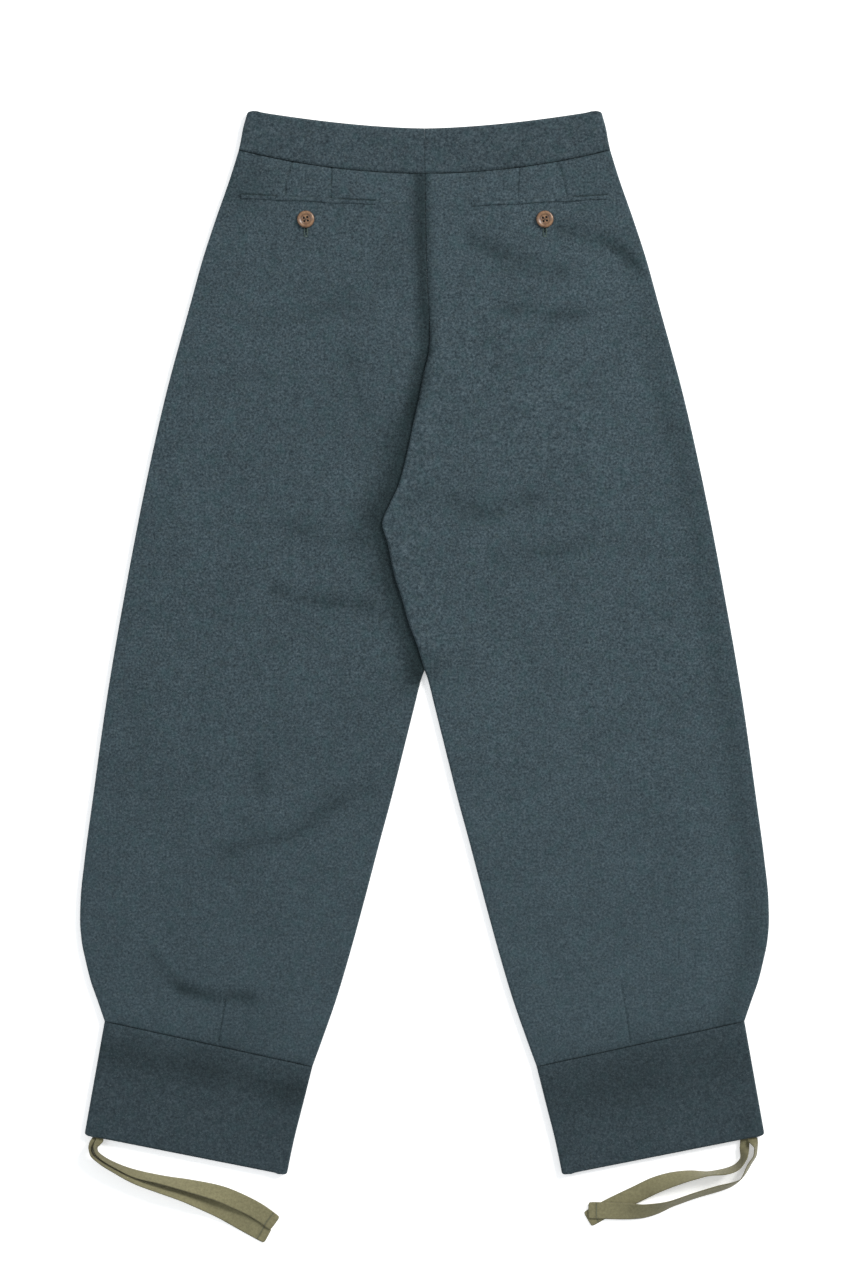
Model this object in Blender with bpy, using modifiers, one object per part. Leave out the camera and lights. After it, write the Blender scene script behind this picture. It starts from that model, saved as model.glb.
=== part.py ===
"""Wool military trousers laid flat, back side up, with pocket buttons and ankle ties.

Every cloth piece is a real wall of cloth: a grid of its outer face, thickened inwards.
The front panels lie on the ground, the back panels lie on them, and both roll towards
each other at the side seams and inseams. Sizes are in millimetres until a mesh is made.
The origin is the middle of the outline on the ground. +Y points to the waist, +Z up.
"""

import math
from collections import namedtuple

import bmesh
import bpy
from mathutils import Vector

MM = 0.001

# Driving sizes
TOP_Y = 591.5            # highest point of the waistband, from the middle of the outline
CLOTH = 2.2              # felted wool melton
BAND_CLOTH = 2.6         # waistband and cuffs, made of two layers
SEAM_GAP = 0.3           # between neighbouring pieces
EDGE_RADIUS = 3.35       # roll of a panel at a side seam or an inseam
RIM = 0.9                # straight stretch at the end of a roll
BAND_RADIUS = 3.85       # the same on the waistband and the cuffs
PUFF = 0.5               # how far the air in a leg lifts the middle of the cloth
SIDE_DIP_WIDTH = 30.0    # how far from a side seam that lift is reached
CENTRE_DIP_WIDTH = {"left": 22.0, "right": 28.0}
SEAM_DIP = 0.6           # how deep the cloth sinks along a seam across it
SEAM_DIP_WIDTH = 5.0
SEAM_FADE = (4.0, 14.0)  # distances from an edge between which that sinking sets in
FOLD_FADE = (4.0, 34.0)  # the same for the soft folds
WAIST_HALF = 193.8       # half the flat waist at its seam
WAIST_SEAM_CENTRE = 67.4  # drop of the waist seam at the centre back
WAIST_SEAM_SIDE = 42.8   # drop of the waist seam at the side
BAND_TOP_CENTRE = 20.2   # drop of the waistband's upper edge at the centre back
BAND_TOP_RISE = 20.6     # how much higher that edge is at the side
BAND_TOP_CURVE = 1.64    # power of that rise across the band
BAND_CENTRE_ANGLE = 20.0  # roll of the waistband at its centre seam, in degrees
CUFF_SEAM_OUTER = (333.8, 951.6)  # distance from the middle line, drop
CUFF_SEAM_INNER = (117.0, 999.0)
HEM_OUTER = (354.8, 1070.1)
HEM_INNER = (143.7, 1111.9)
FORK_DROP = 585.7        # where the legs part
ROLLED_DROP = 617.0      # where the inseam has its full roll, below the fork
LAP_START = 250.0        # drop where the lap begins
LAP_CORNER = 433.2       # drop where the right leg's fold reaches furthest over the left
LAP_END = 560.0
LAP_WIDENS = 40.0        # length over which the hidden lap reaches its full width
LAP_NARROWS = 25.0       # length over which it ends
LAP_TOP = 4.8            # height of the left panel's face under the lap of the right one
LAP_CREST = 8.55         # height of the right panel along the lap
LAP_SHARE = 0.9          # how much of the way to the middle line the hidden lap reaches
LAP_MARGIN = 6.0         # level stretch of the left panel beside the lap
WELT_LENGTH = 143.0
WELT_WIDTH = 4.7
WELT_CLOTH = 1.3
WELT_ROLL = 0.2          # how much lower its edges lie than its middle
BUTTON_DIAMETER = 18.0
BUTTON_DROP = 115.4
BUTTON_ACROSS = {"left": 123.8, "right": 125.4}
BUTTON_TURN = 10.0       # degrees
HOLE_DIAMETER = 1.7
HOLE_SPACING = 3.65
HOLE_DEPTH = 10.0        # length of the cutter, longer than the button is thick
TAPE_WIDTH = 17.5
TAPE_CLOTH = 1.0
FLY_WIDTH = 44.0
FLY_CLOTH = 1.0
FLY_TOP = 30.0           # drop of the fly shield's upper end
FLY_END = 205.0
FLY_SLANT = 25.0         # how much higher its lower end is on the wearer's right
FLY_TOE = 0.3            # where that slant begins, as a share of half the width
FLY_RISE = 2.95           # height of the fly shield's lower face above the ground

# Grid
ARC_STEPS = 3
ARC_SPREAD = 0.8         # keeps the columns of a flat edge apart
BACK_COLUMNS = 10
FRONT_COLUMNS = 6
BAND_COLUMNS = 9
CUFF_COLUMNS = 4
BACK_ROWS = 36
FRONT_ROWS = 18
BAND_ROWS = (0.0, 0.08, 0.27, 0.52, 0.78, 0.94, 1.0)
CUFF_ROWS = (0.0, 0.03, 0.1, 0.35, 0.65, 1.0)
WELT_STEPS = 12
BUTTON_STEPS = 24
HOLE_STEPS = 8
TAPE_STEPS = 4       # between two rows of a tie's table
TAPE_TREND = 7.0     # a tie's direction is taken this far before and after a place

Station = namedtuple("Station", "drop across")
OUTSEAM = [
    Station(42.8, 193.8), Station(73.2, 203.3), Station(115.0, 217.9),
    Station(156.8, 231.5), Station(198.6, 243.0), Station(303.1, 271.2),
    Station(407.6, 294.2), Station(512.1, 314.0), Station(616.6, 331.8),
    Station(721.1, 346.4), Station(783.8, 354.8), Station(825.6, 359.0),
    Station(846.5, 359.5), Station(867.4, 357.9), Station(888.3, 353.7),
    Station(909.2, 348.5), Station(930.1, 341.2), Station(951.6, 333.8),
]
INSEAM = [
    Station(585.7, 0.15), Station(595.7, 3.7), Station(616.6, 8.9),
    Station(658.4, 19.3), Station(721.1, 35.0), Station(762.9, 46.3),
    Station(825.6, 62.7), Station(888.3, 79.9), Station(930.1, 92.5),
    Station(971.9, 107.1), Station(999.0, 117.0),
]
# The seat seam, and below it the folded edge of the right leg over the left one
CREST = [
    Station(67.4, 0.3), Station(118.1, 0.9), Station(180.8, 2.9), Station(238.3, 5.7),
    Station(251.8, 4.7), Station(272.7, -0.1), Station(299.9, -5.4), Station(324.0, -10.8),
    Station(350.0, -16.2), Station(390.8, -26.6), Station(409.1, -35.0),
    Station(433.2, -44.1), Station(451.4, -38.8), Station(483.8, -32.1),
    Station(513.1, -22.8), Station(537.1, -16.2), Station(558.0, -8.2),
    Station(585.7, 0.15),
]
WAISTBAND_SIDE = [
    Station(0.0, 193.8), Station(0.22, 191.8), Station(0.51, 189.7),
    Station(0.8, 186.5), Station(0.95, 184.4), Station(1.0, 180.0),
]
CUFF_INNER_EDGE = [
    Station(999.0, 117.0), Station(1034.6, 125.9), Station(1076.4, 136.4),
    Station(1111.9, 143.7),
]

# How an edge rolls: the angle it turns through and the height of the face beside it
Roll = namedtuple("Roll", "drop angle level")
RIGHT_CENTRE_ROLL = [
    Roll(67.4, 30.0, 7.3), Roll(215.0, 30.0, 7.3), Roll(262.0, 90.0, LAP_CREST),
    Roll(LAP_END, 90.0, LAP_CREST), Roll(FORK_DROP, 90.0, 7.0), Roll(999.0, 90.0, 7.0),
]
LEFT_CENTRE_ROLL = [
    Roll(67.4, 30.0, 7.3), Roll(196.0, 30.0, 7.3), Roll(244.0, 0.0, LAP_TOP),
    Roll(FORK_DROP, 0.0, LAP_TOP), Roll(ROLLED_DROP, 90.0, 7.5), Roll(660.0, 90.0, 7.0),
    Roll(999.0, 90.0, 7.0),
]
FRONT_CENTRE_ROLL = [
    Roll(67.4, 0.0, 0.0), Roll(FORK_DROP, 0.0, 0.0), Roll(ROLLED_DROP, 90.0, 0.0),
    Roll(999.0, 90.0, 0.0),
]

# Soft folds of the back: troughs are positive, ridges negative. Points are (x, y).
Fold = namedtuple("Fold", "depth width points")
FOLDS = [
    Fold(1.3, 14.0, [(-167, 105), (-120, 79), (-67, 72)]),
    Fold(0.8, 14.0, [(-73, 330), (-73, 285)]),
    Fold(1.0, 14.0, [(-198, -182), (-141, -169), (-99, -140), (-57, -114)]),
    Fold(1.6, 14.0, [(-276, -297), (-245, -323), (-208, -334), (-172, -328)]),
    Fold(0.7, 14.0, [(58, 450), (126, 426)]),
    Fold(1.3, 14.0, [(157, 461), (230, 430)]),
    Fold(1.0, 14.0, [(-15, 179), (27, 184), (58, 165), (110, 184)]),
    Fold(0.7, 16.0, [(79, 121), (173, 137)]),
    Fold(0.7, 16.0, [(27, 288), (110, 341)]),
    Fold(-0.6, 40.0, [(105, 275), (150, 260)]),
    Fold(-0.5, 36.0, [(80, 350), (70, 310)]),
]

# Ankle ties: where each one runs, how far it stands on its edge, and its height there.
# "stand" is in degrees from flat, positive when the edge on the route's left is up.
Tape = namedtuple("Tape", "x y stand rise")
Keyed = namedtuple("Keyed", "length x y stand rise")
TIES = {
    "tie_left_lower": [
        Tape(-337.5, -458, 0, 2.8), Tape(-340.4, -485.2, 0, 2.8), Tape(-343.7, -488.2, -38, 0.9),
        Tape(-346.4, -491.8, -66, 0.1), Tape(-345.9, -496.4, -74, 0), Tape(-339.5, -502.8, -72, 0),
        Tape(-321.7, -513.1, -66, 0), Tape(-299.3, -523.8, -54, 0), Tape(-276, -532.7, -57, 0),
        Tape(-248.1, -541.7, -42, 0), Tape(-217.3, -555.2, -12, 0), Tape(-187.8, -571.8, 0, 0),
        Tape(-163.5, -585.1, 0, 0),
    ],
    "tie_left_upper": [
        Tape(-337, -458, 0, 4.1), Tape(-338, -484.2, 0, 4.1), Tape(-340.3, -487.8, -38, 3.7),
        Tape(-342.3, -491, -66, 2.6), Tape(-341.8, -495, -74, 1.2), Tape(-337.6, -500.2, -72, 0),
        Tape(-320.4, -510.4, -66, 0), Tape(-300, -518.8, -52, 0), Tape(-277.4, -524.1, -58, 0),
        Tape(-245.5, -531.4, -44, 0), Tape(-215.4, -539.6, -28, 0), Tape(-195.4, -548, -12, 0.7),
        Tape(-174.5, -558.8, -2, 1.3), Tape(-156, -572, 0, 1.3),
    ],
    "tie_right_lower": [
        Tape(335, -458, 0, 2.8), Tape(334.2, -488.5, 0, 2.8), Tape(333.7, -492.5, 16, 2.4),
        Tape(333.4, -496, 36, 1.7), Tape(333, -500, 54, 1.1), Tape(331.2, -505, 70, 0.6),
        Tape(324, -512.6, 74, 0.2), Tape(312, -516.6, 80, 0), Tape(298, -518.3, 86, 0),
        Tape(278.5, -520.4, 66, 0), Tape(262, -524, 47, 0), Tape(243, -530.5, 26, 0),
        Tape(222, -541, 4, 0), Tape(192, -555.5, 0, 0), Tape(170.3, -567.7, 0, 0),
    ],
    "tie_right_upper": [
        Tape(336, -458, 0, 4.1), Tape(338, -484, 0, 4.1), Tape(341.6, -487.6, -38, 3.3),
        Tape(344.4, -491.6, -66, 1.6), Tape(344.2, -498, -70, 0.3), Tape(338.6, -508.6, -70, 0),
        Tape(329.8, -524.2, -78, 0), Tape(319.2, -530.3, -67, 0), Tape(304.6, -534.8, -60, 0),
        Tape(282.7, -541.3, -61, 0), Tape(260.2, -549.2, -60, 0), Tape(238, -556.4, -38, 0.6),
        Tape(224.2, -558.6, -24, 1.2), Tape(210.6, -558.8, -8, 1.3), Tape(190, -558.4, 0, 1.3),
        Tape(171, -558, 0, 1.3),
    ],
}

# The welts' middle lines
Line = namedtuple("Line", "x0 y0 x1 y1")
WELT_LINES = {
    "left": Line(-191.9, 500.2, -49.7, 493.5),
    "right": Line(191.9, 499.6, 49.7, 491.9),
}

# Half the cross-section of a button: share of its radius, height
Turned = namedtuple("Turned", "share height")
BUTTON_PROFILE = [
    Turned(0.0, 1.7), Turned(0.5, 1.7), Turned(0.62, 2.1), Turned(0.78, 2.8),
    Turned(0.93, 2.4), Turned(1.0, 1.5), Turned(0.93, 0.6), Turned(0.7, 0.0),
    Turned(0.0, 0.0),
]

Shade = namedtuple("Shade", "red green blue roughness")
WOOL = Shade(0.050, 0.075, 0.089, 0.95)
COTTON = Shade(0.184, 0.174, 0.105, 0.9)
CORD_BROWN = Shade(0.202, 0.125, 0.078, 0.45)


def curve_at(rows, place, value):
    """Reads one column of a table at a place in its first column, on a smooth curve."""
    keys = [row[0] for row in rows]
    column = [getattr(row, value) for row in rows]
    if place <= keys[0]:
        return column[0]
    if place >= keys[-1]:
        return column[-1]
    after = next(i for i, key in enumerate(keys) if key > place)
    before = after - 1
    span = keys[after] - keys[before]

    def slope(i):
        if i in (0, len(keys) - 1):
            return (column[after] - column[before]) / span
        left = (column[i] - column[i - 1]) / (keys[i] - keys[i - 1])
        right = (column[i + 1] - column[i]) / (keys[i + 1] - keys[i])
        if left * right <= 0:
            return 0.0
        return 2 * left * right / (left + right)

    t = (place - keys[before]) / span
    hermite = (
        (2 * t**3 - 3 * t**2 + 1) * column[before]
        + (t**3 - 2 * t**2 + t) * span * slope(before)
        + (3 * t**2 - 2 * t**3) * column[after]
        + (t**3 - t**2) * span * slope(after)
    )
    return hermite


def smoothstep(low, high, value):
    t = min(1.0, max(0.0, (value - low) / (high - low)))
    return t * t * (3 - 2 * t)


def bell(distance, width):
    return math.exp(-((distance / width) ** 2))


def distance_to_line(x, y, points):
    """Shortest distance from a place to a run of straight stretches."""
    best = math.inf
    for (ax, ay), (bx, by) in zip(points, points[1:]):
        dx, dy = bx - ax, by - ay
        t = ((x - ax) * dx + (y - ay) * dy) / (dx * dx + dy * dy)
        t = min(1.0, max(0.0, t))
        best = min(best, math.hypot(x - ax - t * dx, y - ay - t * dy))
    return best


def fold_depth(x, y):
    return sum(
        fold.depth * bell(distance_to_line(x, y, fold.points), fold.width)
        for fold in FOLDS
    )


def waist_seam_drop(across):
    lift = WAIST_SEAM_CENTRE - WAIST_SEAM_SIDE
    return WAIST_SEAM_CENTRE - lift * (across / WAIST_HALF) ** 2


def outer_edge(v):
    """Side seam of a panel, from the waist at v = 0 to the cuff at v = 1."""
    drop = WAIST_SEAM_SIDE + v * (CUFF_SEAM_OUTER[1] - WAIST_SEAM_SIDE)
    return curve_at(OUTSEAM, drop, "across"), drop


def inner_drop(v):
    return WAIST_SEAM_CENTRE + v * (CUFF_SEAM_INNER[1] - WAIST_SEAM_CENTRE)


PANEL_LENGTH = CUFF_SEAM_INNER[1] - WAIST_SEAM_CENTRE


def row_at(drop):
    """The v whose row ends at this drop on the inner edge."""
    return (drop - WAIST_SEAM_CENTRE) / PANEL_LENGTH


FORK_ROWS = tuple(
    row_at(FORK_DROP + part * (ROLLED_DROP - FORK_DROP)) for part in (0.0, 0.3, 0.7, 1.0)
)
LAP_ROWS = (row_at(LAP_START), row_at(LAP_CORNER), row_at(LAP_END), *FORK_ROWS)


def inseam_across(drop):
    return curve_at(INSEAM, drop, "across") if drop > FORK_DROP else SEAM_GAP / 2


def lap_cover(drop):
    """How far the left back panel reaches on under the right one."""
    shown = smoothstep(LAP_START, LAP_START + LAP_WIDENS, drop)
    shown *= 1 - smoothstep(LAP_END - LAP_NARROWS, LAP_END, drop)
    return LAP_SHARE * shown * max(0.0, -curve_at(CREST, drop, "across"))


def back_inner_x(side, drop):
    """x of a back panel's inner edge, and how much of the panel is hidden there."""
    if drop > FORK_DROP:
        across = inseam_across(drop)
        return (across if side == "right" else -across), 0.0
    crest = curve_at(CREST, drop, "across")
    if side == "right":
        return crest, 0.0
    hidden = lap_cover(drop)
    return crest - SEAM_GAP + hidden, hidden


def columns_across(length, outer_roll, inner_roll, count, margin=0.0, hidden=0.0):
    """(distance from the outer edge, rounding there) for each point of a row.

    A margin keeps one column on the line where a panel goes under the lap.
    """
    places = []
    reach = []
    for edge_radius, angle in (outer_roll, inner_roll):
        turned = math.radians(angle)
        radius = edge_radius - RIM
        bottom = radius * (1 - math.cos(turned))
        arc = [(0.0, bottom + RIM * math.sin(turned))]
        for step in range(ARC_STEPS + 1):
            phi = turned * (1 - step / ARC_STEPS)
            inward = radius * (math.sin(turned) - math.sin(phi))
            inward += RIM * math.cos(turned) + ARC_SPREAD * step * (1 - math.sin(turned))
            arc.append((inward, radius * (1 - math.cos(phi))))
        reach.append(arc)
    outer_arc, inner_arc = reach
    start = outer_arc[-1][0]
    stop = length - inner_arc[-1][0]
    places.extend(outer_arc)
    shown = length - hidden - margin if margin else stop
    for step in range(1, count + bool(margin)):
        places.append((start + (shown - start) * step / count, 0.0))
    if margin:
        places.append(((shown + stop) / 2, 0.0))
    places.extend((length - inward, sink) for inward, sink in reversed(inner_arc))
    return places


def rows_along(count, ends, marks):
    """Row places from 0 to 1: evenly spaced, closer at both ends, with the marks kept."""
    even = [step / count for step in range(1, count)]
    even = [v for v in even if all(abs(v - mark) > 0.3 / count for mark in marks)]
    near = [0.0, *ends, *(1 - end for end in ends), 1.0]
    even = [v for v in even if ends[-1] * 1.5 < v < 1 - ends[-1] * 1.5]
    return sorted({*near, *even, *marks})


def back_panel(side):
    sign = 1 if side == "right" else -1
    rolls = RIGHT_CENTRE_ROLL if side == "right" else LEFT_CENTRE_ROLL
    grid = []
    for v in rows_along(BACK_ROWS, (0.003, 0.01), LAP_ROWS):
        across, drop_out = outer_edge(v)
        drop_in = inner_drop(v)
        inner_x, hidden = back_inner_x(side, drop_in)
        start = Vector((sign * across, TOP_Y - drop_out))
        stop = Vector((inner_x, TOP_Y - drop_in))
        length = (stop - start).length
        angle = curve_at(rolls, drop_in, "angle")
        level = curve_at(rolls, drop_in, "level")
        side_level = 2 * EDGE_RADIUS + SEAM_GAP
        curve = (WAIST_SEAM_CENTRE - WAIST_SEAM_SIDE) * (1 - smoothstep(0, 0.5, v))
        seam_dip = SEAM_DIP * bell(min(v, 1 - v) * PANEL_LENGTH, SEAM_DIP_WIDTH)
        row = []
        margin = LAP_MARGIN if side == "left" else 0.0
        for inward, sink in columns_across(
            length, (EDGE_RADIUS, 90.0), (EDGE_RADIUS, angle), BACK_COLUMNS, margin, hidden
        ):
            u = inward / length
            place = start.lerp(stop, u)
            y = place.y - curve * u * (1 - u)
            from_centre = max(0.0, length - inward - hidden - margin)
            rest = side_level + PUFF
            z = rest
            z += (side_level - rest) * bell(inward, SIDE_DIP_WIDTH)
            z += (level - rest) * bell(from_centre, CENTRE_DIP_WIDTH[side])
            clear = smoothstep(*FOLD_FADE, min(inward, from_centre))
            z -= clear * fold_depth(place.x, y) + sink
            z -= seam_dip * smoothstep(*SEAM_FADE, min(inward, length - inward))
            row.append((place.x, y, z))
        grid.append(row)
    return grid


def front_panel(side):
    sign = 1 if side == "right" else -1
    grid = []
    for v in rows_along(FRONT_ROWS, (0.01,), FORK_ROWS):
        across, drop_out = outer_edge(v)
        drop_in = inner_drop(v)
        start = Vector((sign * across, TOP_Y - drop_out))
        stop = Vector((sign * inseam_across(drop_in), TOP_Y - drop_in))
        length = (stop - start).length
        angle = curve_at(FRONT_CENTRE_ROLL, drop_in, "angle")
        curve = (WAIST_SEAM_CENTRE - WAIST_SEAM_SIDE) * (1 - smoothstep(0, 0.5, v))
        row = []
        for inward, sink in columns_across(
            length, (EDGE_RADIUS, 90.0), (EDGE_RADIUS, angle), FRONT_COLUMNS
        ):
            u = inward / length
            place = start.lerp(stop, u)
            row.append((place.x, place.y - curve * u * (1 - u), sink))
        grid.append(row)
    return grid


def waistband(side, layer):
    sign = 1 if side == "right" else -1
    level = 2 * BAND_RADIUS + SEAM_GAP
    band_height = WAIST_SEAM_CENTRE - BAND_TOP_CENTRE
    grid = []
    for v in BAND_ROWS:
        half = curve_at(WAISTBAND_SIDE, v, "across")
        length = half - SEAM_GAP / 2
        edge_dip = SEAM_DIP * bell(v * band_height, SEAM_DIP_WIDTH / 2)
        edge_dip += SEAM_DIP * bell((1 - v) * band_height, SEAM_DIP_WIDTH / 2)
        row = []
        for inward, sink in columns_across(
            length, (BAND_RADIUS, 90.0), (BAND_RADIUS, BAND_CENTRE_ANGLE), BAND_COLUMNS
        ):
            across = half - inward
            seam = waist_seam_drop(across) - SEAM_GAP
            top = BAND_TOP_CENTRE - BAND_TOP_RISE * (across / WAIST_HALF) ** BAND_TOP_CURVE
            drop = seam + v * (top - seam)
            dip = edge_dip * smoothstep(*SEAM_FADE, inward)
            z = level - dip - sink if layer == "back" else sink
            row.append((sign * across, TOP_Y - drop, z))
        grid.append(row[::sign])  # both halves run the same way along x
    return grid


def cuff(side, layer):
    sign = 1 if side == "right" else -1
    level = 2 * BAND_RADIUS + SEAM_GAP
    grid = []
    for v in CUFF_ROWS:
        shift = SEAM_GAP * (1 - v)
        outer_x = CUFF_SEAM_OUTER[0] + v * (HEM_OUTER[0] - CUFF_SEAM_OUTER[0])
        outer_drop = CUFF_SEAM_OUTER[1] + v * (HEM_OUTER[1] - CUFF_SEAM_OUTER[1])
        inner = CUFF_SEAM_INNER[1] + v * (HEM_INNER[1] - CUFF_SEAM_INNER[1])
        inner_x = curve_at(CUFF_INNER_EDGE, inner, "across")
        start = Vector((sign * outer_x, TOP_Y - outer_drop - shift))
        stop = Vector((sign * inner_x, TOP_Y - inner - shift))
        length = (stop - start).length
        edge_dip = SEAM_DIP * bell(v * (HEM_OUTER[1] - CUFF_SEAM_OUTER[1]), SEAM_DIP_WIDTH)
        row = []
        for inward, sink in columns_across(
            length, (BAND_RADIUS, 90.0), (BAND_RADIUS, 90.0), CUFF_COLUMNS
        ):
            place = start.lerp(stop, inward / length)
            dip = edge_dip * smoothstep(*SEAM_FADE, min(inward, length - inward))
            z = level - dip - sink if layer == "back" else sink
            row.append((place.x, place.y, z))
        grid.append(row)
    return grid


def new_material(name, shade):
    material = bpy.data.materials.new(name)
    material.use_nodes = True
    shader = material.node_tree.nodes["Principled BSDF"]
    shader.inputs["Base Color"].default_value = (shade.red, shade.green, shade.blue, 1)
    shader.inputs["Roughness"].default_value = shade.roughness
    shader.inputs["Metallic"].default_value = 0.0
    return material


def new_object(name, bm, collection, shade):
    mesh = bpy.data.meshes.new(name)
    bm.to_mesh(mesh)
    bm.free()
    mesh.shade_smooth()
    obj = bpy.data.objects.new(name, mesh)
    obj.data.materials.append(new_material(name, shade))
    collection.objects.link(obj)
    return obj


def wall_from_grid(name, grid, wall, outward, collection, shade, offset=-1.0):
    """A grid of the outer face made into a wall. outward is +1 for a face that looks up."""
    bm = bmesh.new()
    verts = [[bm.verts.new(Vector(point) * MM) for point in row] for row in grid]
    for upper, lower in zip(verts, verts[1:]):
        for i in range(len(upper) - 1):
            bm.faces.new((upper[i], upper[i + 1], lower[i + 1], lower[i]))
    bm.normal_update()
    if outward * sum(face.normal.z * face.calc_area() for face in bm.faces) < 0:
        bmesh.ops.reverse_faces(bm, faces=bm.faces)
    obj = new_object(name, bm, collection, shade)
    solid = obj.modifiers.new("Wall", "SOLIDIFY")
    solid.thickness = wall * MM
    solid.offset = offset
    return obj


def back_height(x, y):
    """Height of the back's face away from its edges."""
    return 2 * EDGE_RADIUS + SEAM_GAP + PUFF - fold_depth(x, y)


def pocket_welt(side):
    """The narrow welt: a strip on the panel's own face, moved out."""
    x0, y0, x1, y1 = WELT_LINES[side]
    along = Vector((x1 - x0, y1 - y0)).normalized()
    across = Vector((-along.y, along.x))
    if across.y < 0:
        across = -across
    grid = []
    for part in (0.5, 0.0, -0.5):
        row = []
        for step in range(WELT_STEPS + 1):
            place = Vector((x0, y0)) + across * WELT_WIDTH * part
            place += along * WELT_LENGTH * step / WELT_STEPS
            height = back_height(place.x, place.y) + SEAM_GAP + WELT_CLOTH
            row.append((place.x, place.y, height - WELT_ROLL * 2 * abs(part)))
        grid.append(row)
    return grid


def button(side, collection, cutters):
    """A four-hole button with a raised round rim and a dished middle."""
    sign = 1 if side == "right" else -1
    x, y = sign * BUTTON_ACROSS[side], TOP_Y - BUTTON_DROP
    rim = BUTTON_DIAMETER / 2
    bm = bmesh.new()
    verts = [bm.verts.new((rim * share * MM, 0, z * MM)) for share, z in BUTTON_PROFILE]
    for first, second in zip(verts, verts[1:]):
        bm.edges.new((first, second))
    obj = new_object(f"pocket_button_{side}", bm, collection, CORD_BROWN)
    turn = obj.modifiers.new("Turn", "SCREW")
    turn.steps = BUTTON_STEPS
    turn.render_steps = BUTTON_STEPS
    turn.use_merge_vertices = True
    turn.merge_threshold = 0.00001
    turn.use_normal_calculate = True
    for row in (-1, 1):
        for column in (-1, 1):
            bm = bmesh.new()
            bmesh.ops.create_cone(
                bm, cap_ends=True, segments=HOLE_STEPS, radius1=HOLE_DIAMETER / 2 * MM,
                radius2=HOLE_DIAMETER / 2 * MM, depth=HOLE_DEPTH * MM,
            )
            hole = new_object(f"hole_{side}_{row}_{column}", bm, cutters, CORD_BROWN)
            hole.parent = obj
            hole.location = (row * HOLE_SPACING / 2 * MM, column * HOLE_SPACING / 2 * MM, 0)
            hole.hide_render = True
            hole.display_type = "WIRE"
            cut = obj.modifiers.new("Hole", "BOOLEAN")
            cut.operation = "DIFFERENCE"
            cut.object = hole
    obj.location = Vector((x, y, back_height(x, y) + SEAM_GAP)) * MM
    obj.rotation_euler.z = math.radians(BUTTON_TURN)
    return obj


def tie(rows):
    """A woven tape: its middle line and how it stands, with steps between the rows."""
    lengths = [0.0]
    for first, second in zip(rows, rows[1:]):
        lengths.append(lengths[-1] + math.hypot(second.x - first.x, second.y - first.y))
    keyed = [Keyed(length, *row) for length, row in zip(lengths, rows)]
    places = [
        first + (second - first) * step / TAPE_STEPS
        for first, second in zip(lengths, lengths[1:]) for step in range(TAPE_STEPS)
    ]
    places.append(lengths[-1])
    grid = []
    for at in places:
        x, y, stand, rise = (curve_at(keyed, at, name) for name in ("x", "y", "stand", "rise"))
        ahead = Vector([
            curve_at(keyed, at + TAPE_TREND, name) - curve_at(keyed, at - TAPE_TREND, name)
            for name in ("x", "y")
        ])
        ahead.normalize()
        aside = Vector((-ahead.y, ahead.x))
        turned = math.radians(stand)
        lift = TAPE_WIDTH / 2 * abs(math.sin(turned)) + TAPE_CLOTH / 2 * math.cos(turned)
        row = []
        for half in (-0.5, 0.5):
            flat = half * TAPE_WIDTH * math.cos(turned)
            z = rise + lift + half * TAPE_WIDTH * math.sin(turned)
            row.append((x + aside.x * flat, y + aside.y * flat, z))
        grid.append(row)
    return grid


def fly_shield():
    """The plain piece that closes the fly inside, across the front opening."""
    top, low = TOP_Y - FLY_TOP, TOP_Y - FLY_END
    half = FLY_WIDTH / 2
    corners = [
        (-half, top), (half, top), (half, low + FLY_SLANT), (FLY_TOE * half, low), (-half, low),
    ]
    bm = bmesh.new()
    face = bm.faces.new([bm.verts.new(Vector((x, y, FLY_RISE)) * MM) for x, y in corners])
    bm.normal_update()
    if face.normal.z > 0:
        bmesh.ops.reverse_faces(bm, faces=bm.faces)
    return bm


def clear_scene():
    for obj in list(bpy.data.objects):
        bpy.data.objects.remove(obj, do_unlink=True)


def main():
    clear_scene()
    scene = bpy.context.scene.collection
    trousers = bpy.data.collections.new("military_trousers")
    cutters = bpy.data.collections.new("cutters")
    scene.children.link(trousers)
    scene.children.link(cutters)
    for side in ("left", "right"):
        wall_from_grid(f"back_{side}", back_panel(side), CLOTH, 1, trousers, WOOL)
        wall_from_grid(f"front_{side}", front_panel(side), CLOTH, -1, trousers, WOOL)
        for layer, outward in (("back", 1), ("front", -1)):
            wall_from_grid(
                f"waistband_{layer}_{side}", waistband(side, layer), BAND_CLOTH, outward,
                trousers, WOOL,
            )
            wall_from_grid(
                f"cuff_{layer}_{side}", cuff(side, layer), BAND_CLOTH, outward, trousers, WOOL
            )
        wall_from_grid(f"pocket_welt_{side}", pocket_welt(side), WELT_CLOTH, 1, trousers, WOOL)
        button(side, trousers, cutters)
    for name, rows in TIES.items():
        wall_from_grid(name, tie(rows), TAPE_CLOTH, 1, trousers, COTTON, offset=0.0)
    fly = new_object("fly_shield", fly_shield(), trousers, WOOL)
    thick = fly.modifiers.new("Wall", "SOLIDIFY")
    thick.thickness = FLY_CLOTH * MM
    thick.offset = -1.0


main()
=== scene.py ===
# %% [markdown]
# # Wool trousers laid flat
# A pair of wool melton trousers lies back side up on a pale floor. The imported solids
# already hold every piece where it belongs, so this script dresses them: each panel of
# cloth gets a finer shell with its seams, darts and soft folds, and the buttons, welts
# and ankle tapes get the detail of the real thing.
# Sizes are in millimetres in the tables, and MM turns them into metres.

# %% Load the frame
import math
from collections import namedtuple

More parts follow.
